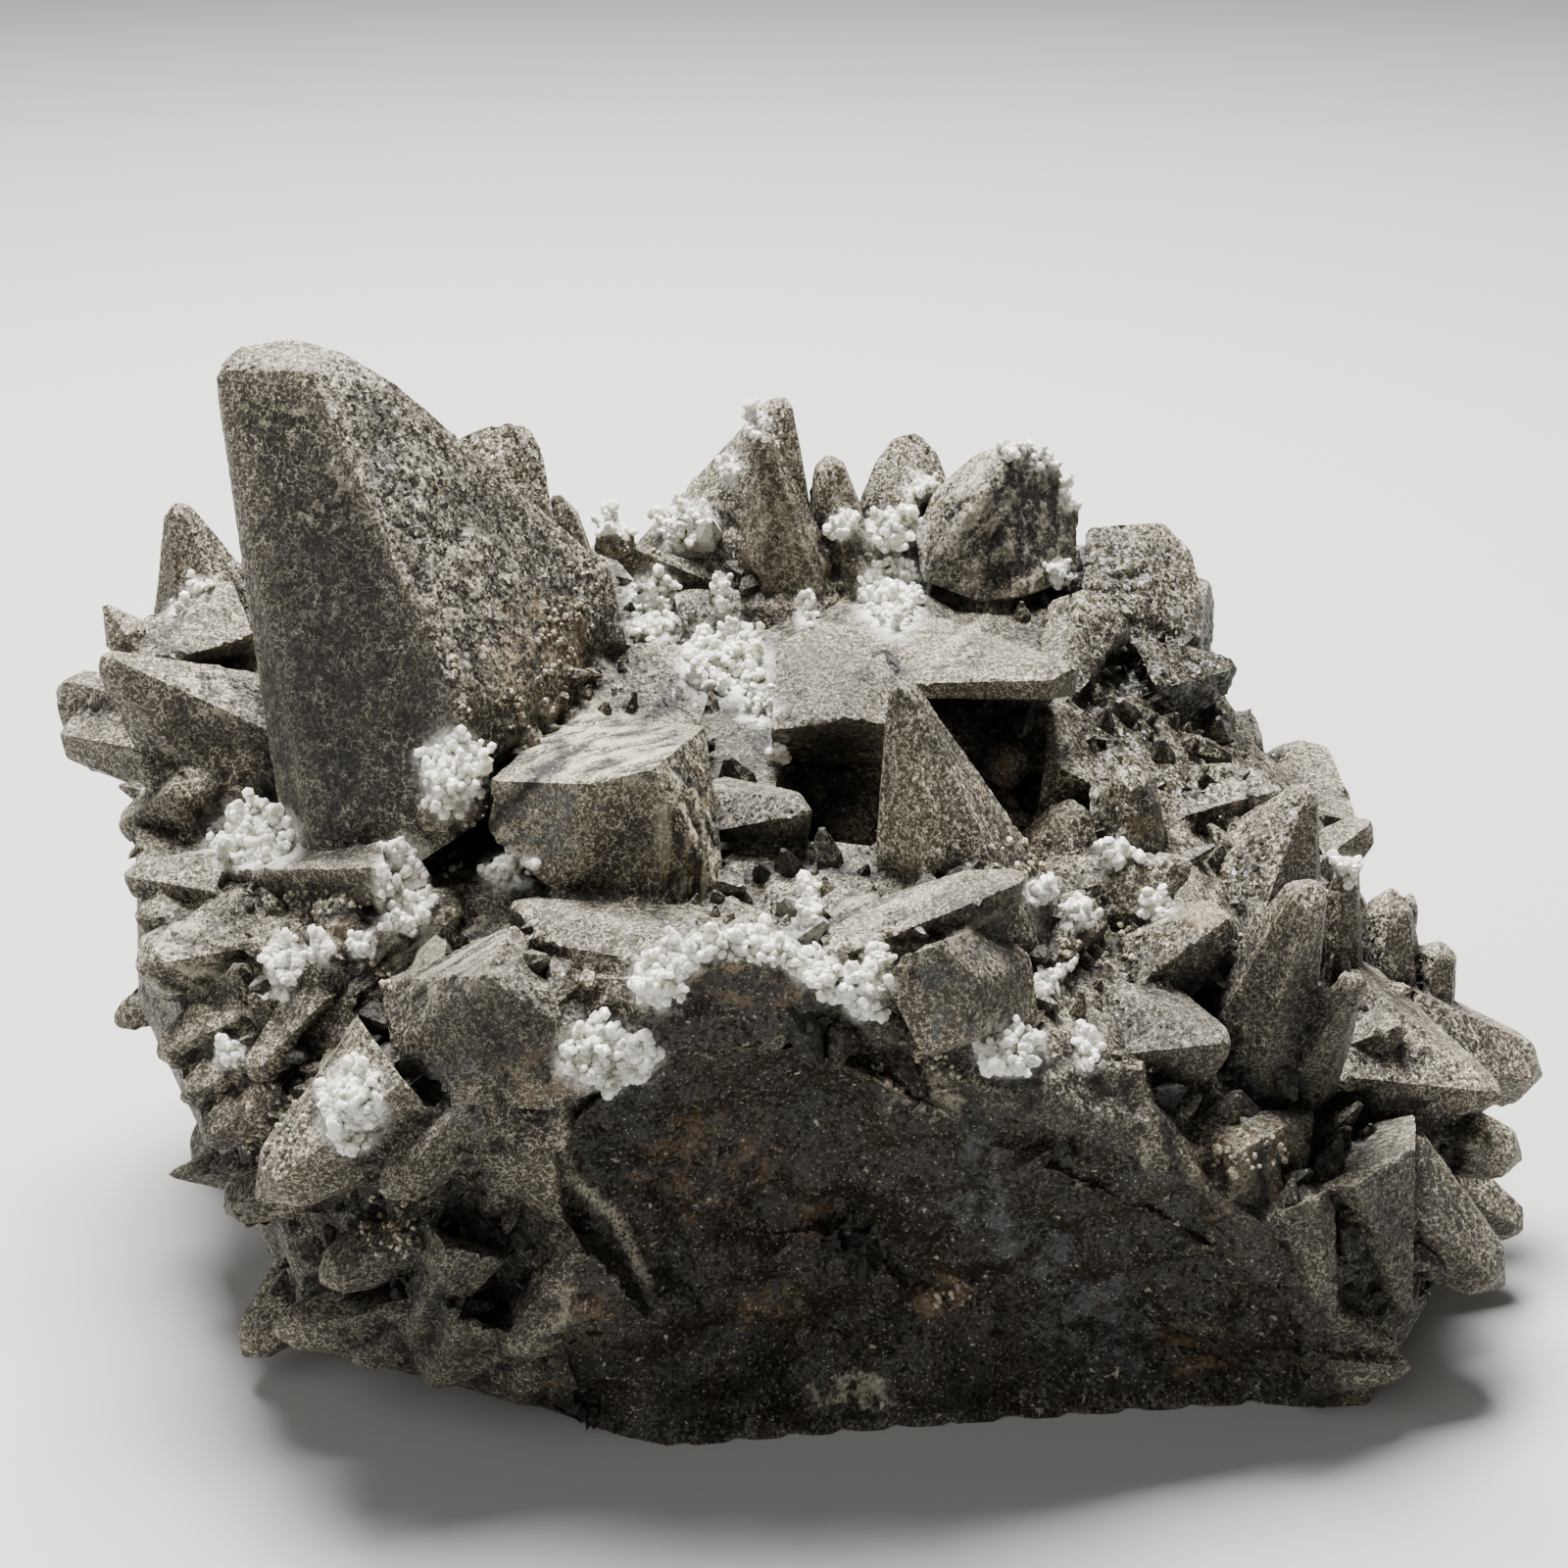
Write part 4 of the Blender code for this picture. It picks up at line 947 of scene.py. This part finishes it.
def blend(tree, share, first, second):
    """One colour turning into another as the share goes from 0 to 1."""
    made = add(tree, "ShaderNodeMix", {"data_type": "RGBA", "clamp_factor": True})
    fill(tree, made.inputs[0], share)
    fill(tree, made.inputs[6], first)
    fill(tree, made.inputs[7], second)
    return made.outputs[2]


def own(tree, name):
    """A number kept on the vertices, read inside a material."""
    return add(tree, "ShaderNodeAttribute", {"attribute_name": name}).outputs["Fac"]


def start_material(material):
    """A cleared material tree with its shader, and the place in millimetres."""
    material.use_nodes = True
    tree = material.node_tree
    shader = tree.nodes["Principled BSDF"]
    place = in_mm(tree, tree.nodes.new("ShaderNodeTexCoord").outputs["Object"])
    return tree, shader, place


def curls(tree, place, per_mm, width):
    """Thin curling lines, drawn where soft noise crosses its middle value."""
    off = maths(tree, "ABSOLUTE", maths(tree, "SUBTRACT", clouds(tree, place, per_mm, 3.0, 0.6), 0.5))
    return step(tree, off, 0.3 * width, width, 1.0, 0.0)


def blotches(tree, share, noise):
    """A patch with a ragged edge: noise is let through more and more towards its middle."""
    return step(tree, maths(tree, "MULTIPLY_ADD", share, 0.24, noise), 0.68, 0.84)


def stone_colour(tree, place, tint):
    """The speckled brown-grey of the frosted calcite with its painted light and shade, and the near black of
    its broken face.
    """
    grain = clouds(tree, place, GRAINS_PER_MM, 2.0, 0.60)
    broad = clouds(tree, place, 0.14, 3.0)
    mottle = clouds(tree, place, 0.7, 4.0, 0.6)
    up, broken, light = own(tree, "up"), own(tree, "broken"), own(tree, "light")
    edge, tip, line = own(tree, "edge"), own(tree, "tip"), own(tree, "pale_line")
    closed = maths(tree, "SUBTRACT", 1.0, own(tree, "open"))
    # The base tone goes from brown to grey at random, and is lifted on faces turned up and on the lit
    # patches as painted light.
    shade = maths(tree, "MULTIPLY_ADD", up, 0.12, step(tree, broad, 0.35, 0.65, 0.25, 0.60))
    shade = maths(tree, "ADD", shade, step(tree, mottle, 0.35, 0.7, -0.15, 0.3))
    shade = maths(tree, "ADD", maths(tree, "MULTIPLY_ADD", light, 0.4, shade), tint)
    shade = maths(tree, "ADD", shade, step(tree, grain, 0.35, 0.65, -0.30, 0.10))
    colour = blend(tree, shade, BROWN, GREY)
    colour = blend(tree, step(tree, grain, 0.26, 0.38, 0.20, 0.0), colour, DEEP)
    chalk = times(tree, own(tree, "chalk"), step(tree, mottle, 0.46, 0.58))
    # Frost on faces turned up, partly settled dust and partly painted sheen of the light from above.
    frost_and_top_sheen = times(tree, up, up, step(tree, mottle, 0.42, 0.66, 0.0, 0.22))
    frost_and_top_sheen = times(tree, frost_and_top_sheen, maths(tree, "MULTIPLY_ADD", own(tree, "scaly"), -0.9, 1.0))
    # The pale share: wear on edges, crust on tips and drawn lines, and chalk, together with painted
    # highlight on edges, tips and tops and painted light on the lit patches.
    dust_and_highlight = maths(tree, "MULTIPLY_ADD", edge, 0.55, frost_and_top_sheen)
    dust_and_highlight = maths(tree, "ADD", dust_and_highlight, maths(tree, "MULTIPLY_ADD", tip, 0.65, line))
    dust_and_highlight = maths(tree, "ADD", dust_and_highlight, maths(tree, "MULTIPLY_ADD", chalk, 0.8, times(tree, light, 0.75)))
    colour = blend(tree, times(tree, dust_and_highlight, step(tree, grain, 0.25, 0.60, 0.55, 1.0)), colour, FROST_AND_LIT_TONE)
    # Pale specks, partly pale grains and partly painted glints.
    specks = times(tree, maths(tree, "MULTIPLY_ADD", dust_and_highlight, 0.8, 0.16), step(tree, grain, 0.58, 0.64))
    colour = blend(tree, specks, colour, PALE)
    # Pale curling threads, partly pale grains and partly painted glints.
    thread = maths(tree, "MULTIPLY_ADD", dust_and_highlight, 0.5, step(tree, mottle, 0.38, 0.62, 0.16, 0.75))
    colour = blend(tree, times(tree, thread, curls(tree, place, *THREADS)), colour, PALE)
    for name, stain in (("tan", TAN), ("blue", BLUISH)):
        colour = blend(tree, times(tree, blotches(tree, own(tree, name), mottle), 0.6), colour, stain)
    stretched = add(tree, "ShaderNodeAttribute", {"attribute_name": "stretched"}).outputs["Vector"]
    streak = clouds(tree, stretched, *LINE_NOISE)
    lined = own(tree, "lined")
    colour = blend(tree, times(tree, lined, step(tree, streak, 0.38, 0.48, 0.85, 0.0)), colour, DEEP)
    colour = blend(tree, times(tree, lined, step(tree, streak, 0.48, 0.60), 0.6), colour, PALE)
    layer = clouds(tree, place, *FLAKE_NOISE)
    flake = step(tree, layer, 0.575, 0.600)
    rim = step(tree, layer, 0.555, 0.570)
    lace = maths(tree, "MULTIPLY_ADD", maths(tree, "SUBTRACT", rim, flake), 0.75, times(tree, flake, 0.40))
    colour = blend(tree, times(tree, own(tree, "crust"), lace), colour, PALE)
    # Painted shade on the shaded patches.
    colour = blend(tree, times(tree, own(tree, "dark"), 0.55), colour, DEEP)
    # Painted shadow in the closed hollows, and painted shade along the drawn crevices.
    shadow = times(tree, step(tree, closed, 0.28, 0.74), step(tree, mottle, 0.3, 0.7, 0.98, 0.80))
    colour = blend(tree, maths(tree, "MAXIMUM", shadow, own(tree, "dark_line")), colour, DEEP)
    soft = clouds(tree, place, 0.33, 4.0, 0.6)
    bare = blend(tree, times(tree, step(tree, soft, 0.36, 0.62), step(tree, grain, 0.25, 0.6)), BROWN, GREY)
    stains = (("rust", 0.8, RUST), ("blue", 0.8, BLUISH), ("tan", 0.6, TAN), ("chalk", 0.6, PALE))
    for name, amount, stain in stains:
        stained = times(tree, blotches(tree, own(tree, name), mottle), step(tree, grain, 0.25, 0.55), amount)
        bare = blend(tree, stained, bare, stain)
    bare = blend(tree, times(tree, line, step(tree, grain, 0.36, 0.52), 0.9), bare, PALE)
    # Pale specks on the broken face, partly pale grains and partly painted glints.
    bare = blend(tree, times(tree, step(tree, grain, 0.64, 0.70), 0.7), bare, PALE)
    bare = blend(tree, times(tree, step(tree, clouds(tree, place, 1.3, 3.0), 0.67, 0.72), 0.7), bare, PALE)
    colour = blend(tree, times(tree, broken, 0.96), colour, bare)
    return blend(tree, times(tree, own(tree, "sugar"), step(tree, mottle, 0.35, 0.5), 0.85), colour, WHITE)


def grainy_bump(tree, place, strength):
    """Grains a quarter of a millimetre wide, each with a flat top that leans its own way."""
    grain = add(tree, "ShaderNodeTexVoronoi", None, Vector=place, Scale=4.2)
    lean = vectors(tree, "SUBTRACT", grain.outputs["Color"], (0.5, 0.5, 0.5))
    off = vectors(tree, "SUBTRACT", place, grain.outputs["Position"])
    tops = maths(tree, "MULTIPLY", vectors(tree, "DOT_PRODUCT", lean, off), 1.15)
    height = maths(tree, "MULTIPLY_ADD", clouds(tree, place, 3.0, 3.0, 0.6), 0.11, tops)
    height = maths(tree, "MULTIPLY", height, maths(tree, "MULTIPLY_ADD", own(tree, "broken"), -0.2, 1.0))
    return add(tree, "ShaderNodeBump", None, Height=height, Strength=strength, Distance=MM).outputs[0]


def dress_stone(material, tinted, strength):
    """The whole finish of the stone, or of the small crystals, each tinted a little differently."""
    tree, shader, place = start_material(material)
    tint = times(tree, own(tree, "tint"), 0.5) if tinted else 0.0
    fill(tree, shader.inputs["Base Color"], stone_colour(tree, place, tint))
    wet = maths(tree, "MAXIMUM", own(tree, "scaly"), own(tree, "broken"))
    glint = step(tree, clouds(tree, place, 3.0, 2.0), 0.56, 0.64, 0.70, 0.22)
    glint = times(tree, glint, maths(tree, "MULTIPLY_ADD", wet, -0.45, 1.0))
    fill(tree, shader.inputs["Roughness"], glint)
    fill(tree, shader.inputs["Normal"], grainy_bump(tree, place, strength))
    shader.inputs["Specular IOR Level"].default_value = STONE_SHINE
    shader.inputs["IOR"].default_value = CALCITE_IOR


dress_stone(stone_finish, False, 0.9)
dress_stone(small_finish, True, 0.7)
print("stone and small crystals dressed")

# %% [markdown]
# ## The crumbs' finish
#
# The crumbs go from dark brown to pale tan, each patch a little different, so
# soft noise picks the colour and a finer noise speckles it.

# %% Dressing the crumbs
def dress_crumbs(material):
    """Brown to pale tan grains."""
    tree, shader, place = start_material(material)
    colour = blend(tree, step(tree, clouds(tree, place, 0.8, 3.0), 0.36, 0.58), GREY, TAN)
    speckle = step(tree, clouds(tree, place, 2.2, 3.0, 0.7), 0.42, 0.60, 0.0, 0.85)
    fill(tree, shader.inputs["Base Color"], blend(tree, speckle, colour, PALE))
    fill(tree, shader.inputs["Normal"], grainy_bump(tree, place, 0.6))
    shader.inputs["Roughness"].default_value = 0.45


dress_crumbs(crumb_finish)
print("crumbs dressed")

# %% [markdown]
# ## The white calcite's finish
#
# The grains are milky: light goes in a little way and comes out again. Subsurface
# scattering does this, with a soft waxy shine on top.

# %% Dressing the sugar
CREAM = (0.58, 0.555, 0.47, 1.0)
MILK = (0.84, 0.82, 0.735, 1.0)


def dress_sugar(material):
    """Milky white with a waxy shine."""
    tree, shader, place = start_material(material)
    milky = step(tree, clouds(tree, place, 0.9, 3.0), 0.35, 0.65)
    fill(tree, shader.inputs["Base Color"], blend(tree, milky, CREAM, MILK))
    shader.inputs["Roughness"].default_value = 0.32
    shader.inputs["IOR"].default_value = CALCITE_IOR
    shader.inputs["Subsurface Weight"].default_value = 0.35
    shader.inputs["Subsurface Radius"].default_value = (1.0, 0.9, 0.75)
    shader.inputs["Subsurface Scale"].default_value = 0.9 * MM
    height = clouds(tree, place, 2.2, 3.0)
    bump = add(tree, "ShaderNodeBump", None, Height=height, Strength=0.35, Distance=0.12 * MM)
    fill(tree, shader.inputs["Normal"], bump.outputs[0])


dress_sugar(sugar_finish)
print("sugar dressed")

# %% [markdown]
# ## Belonging to the model
#
# Each finished piece rides on the model's one body, stands for the solid node,
# which is hidden, and takes its own material. Each is pressed back inside the
# solid's box, and so stays above the floor. Nothing may reach outside the
# solid's box or below the floor.

# %% Handing the pieces over
def finish_piece(thing, material):
    """Keeps a piece inside the solid's box and ties it to the model."""
    keep_in_box(thing.data)
    thing.data.materials.clear()
    thing.data.materials.append(material)
    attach(thing, "root")
    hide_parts("calcite_cluster")
    print(thing.name, triangle_count(thing), "triangles")


for piece, finish in (
    (stone, stone_finish), (sugar, sugar_finish), (crumbs, crumb_finish), (small, small_finish),
):
    finish_piece(piece, finish)

# %% [markdown]
# ## Floor, light and camera
#
# The specimen stands on a plain pale floor. The key light hangs above it and a
# little behind, so the tops are bright and the broken front stays dark. A weak,
# larger light in front of it and the dim surroundings fill the shadows.

# %% Setting up the studio
FLOOR_HALF = 3.0
FLOOR_COLOUR = (0.37, 0.37, 0.36, 1.0)
SKY_COLOUR = (0.90, 0.89, 0.87, 1.0)
SKY_STRENGTH = 0.17
AIM = (0, 0, 0.03)


def studio_floor():
    """A wide pale floor."""
    mesh = bpy.data.meshes.new("floor")
    corners = [(-1, -1, 0), (1, -1, 0), (1, 1, 0), (-1, 1, 0)]
    mesh.from_pydata([Vector(corner) * FLOOR_HALF for corner in corners], [], [(0, 1, 2, 3)])
    floor = new_object("floor", mesh)
    material = bpy.data.materials.new("pale_floor")
    material.use_nodes = True
    shader = material.node_tree.nodes["Principled BSDF"]
    shader.inputs["Base Color"].default_value = FLOOR_COLOUR
    shader.inputs["Roughness"].default_value = 0.8
    mesh.materials.append(material)


def soft_light(name, place, size, watts):
    """A square soft light that points at the specimen's middle."""
    data = bpy.data.lights.new(name, "AREA")
    data.size = size
    data.energy = watts
    lamp = bpy.data.objects.new(name, data)
    lamp.location = place
    lamp.rotation_euler = (Vector(AIM) - Vector(place)).to_track_quat("-Z", "Y").to_euler()
    bpy.context.scene.collection.objects.link(lamp)


def stand_camera():
    """The camera at the eye of the sighting frame."""
    data = bpy.data.cameras.new("camera")
    data.sensor_width = 36.0
    data.lens = data.sensor_width * SIGHT_LENGTH / FRAME_SIDE
    data.clip_start = 0.005
    camera = bpy.data.objects.new("camera", data)
    camera.location = EYE * MM
    camera.rotation_euler = Vector(AWAY).to_track_quat("-Z", "Y").to_euler()
    bpy.context.scene.collection.objects.link(camera)
    bpy.context.scene.camera = camera


studio_floor()
soft_light("key", (-0.05, 0.155, 0.455), 0.24, 16.0)
soft_light("fill", (-0.30, -0.34, 0.34), 0.50, 1.4)
world = bpy.data.worlds.new("studio")
world.use_nodes = True
sky = world.node_tree.nodes["Background"].inputs
sky["Color"].default_value = SKY_COLOUR
sky["Strength"].default_value = SKY_STRENGTH
bpy.context.scene.world = world
stand_camera()
print("studio ready")
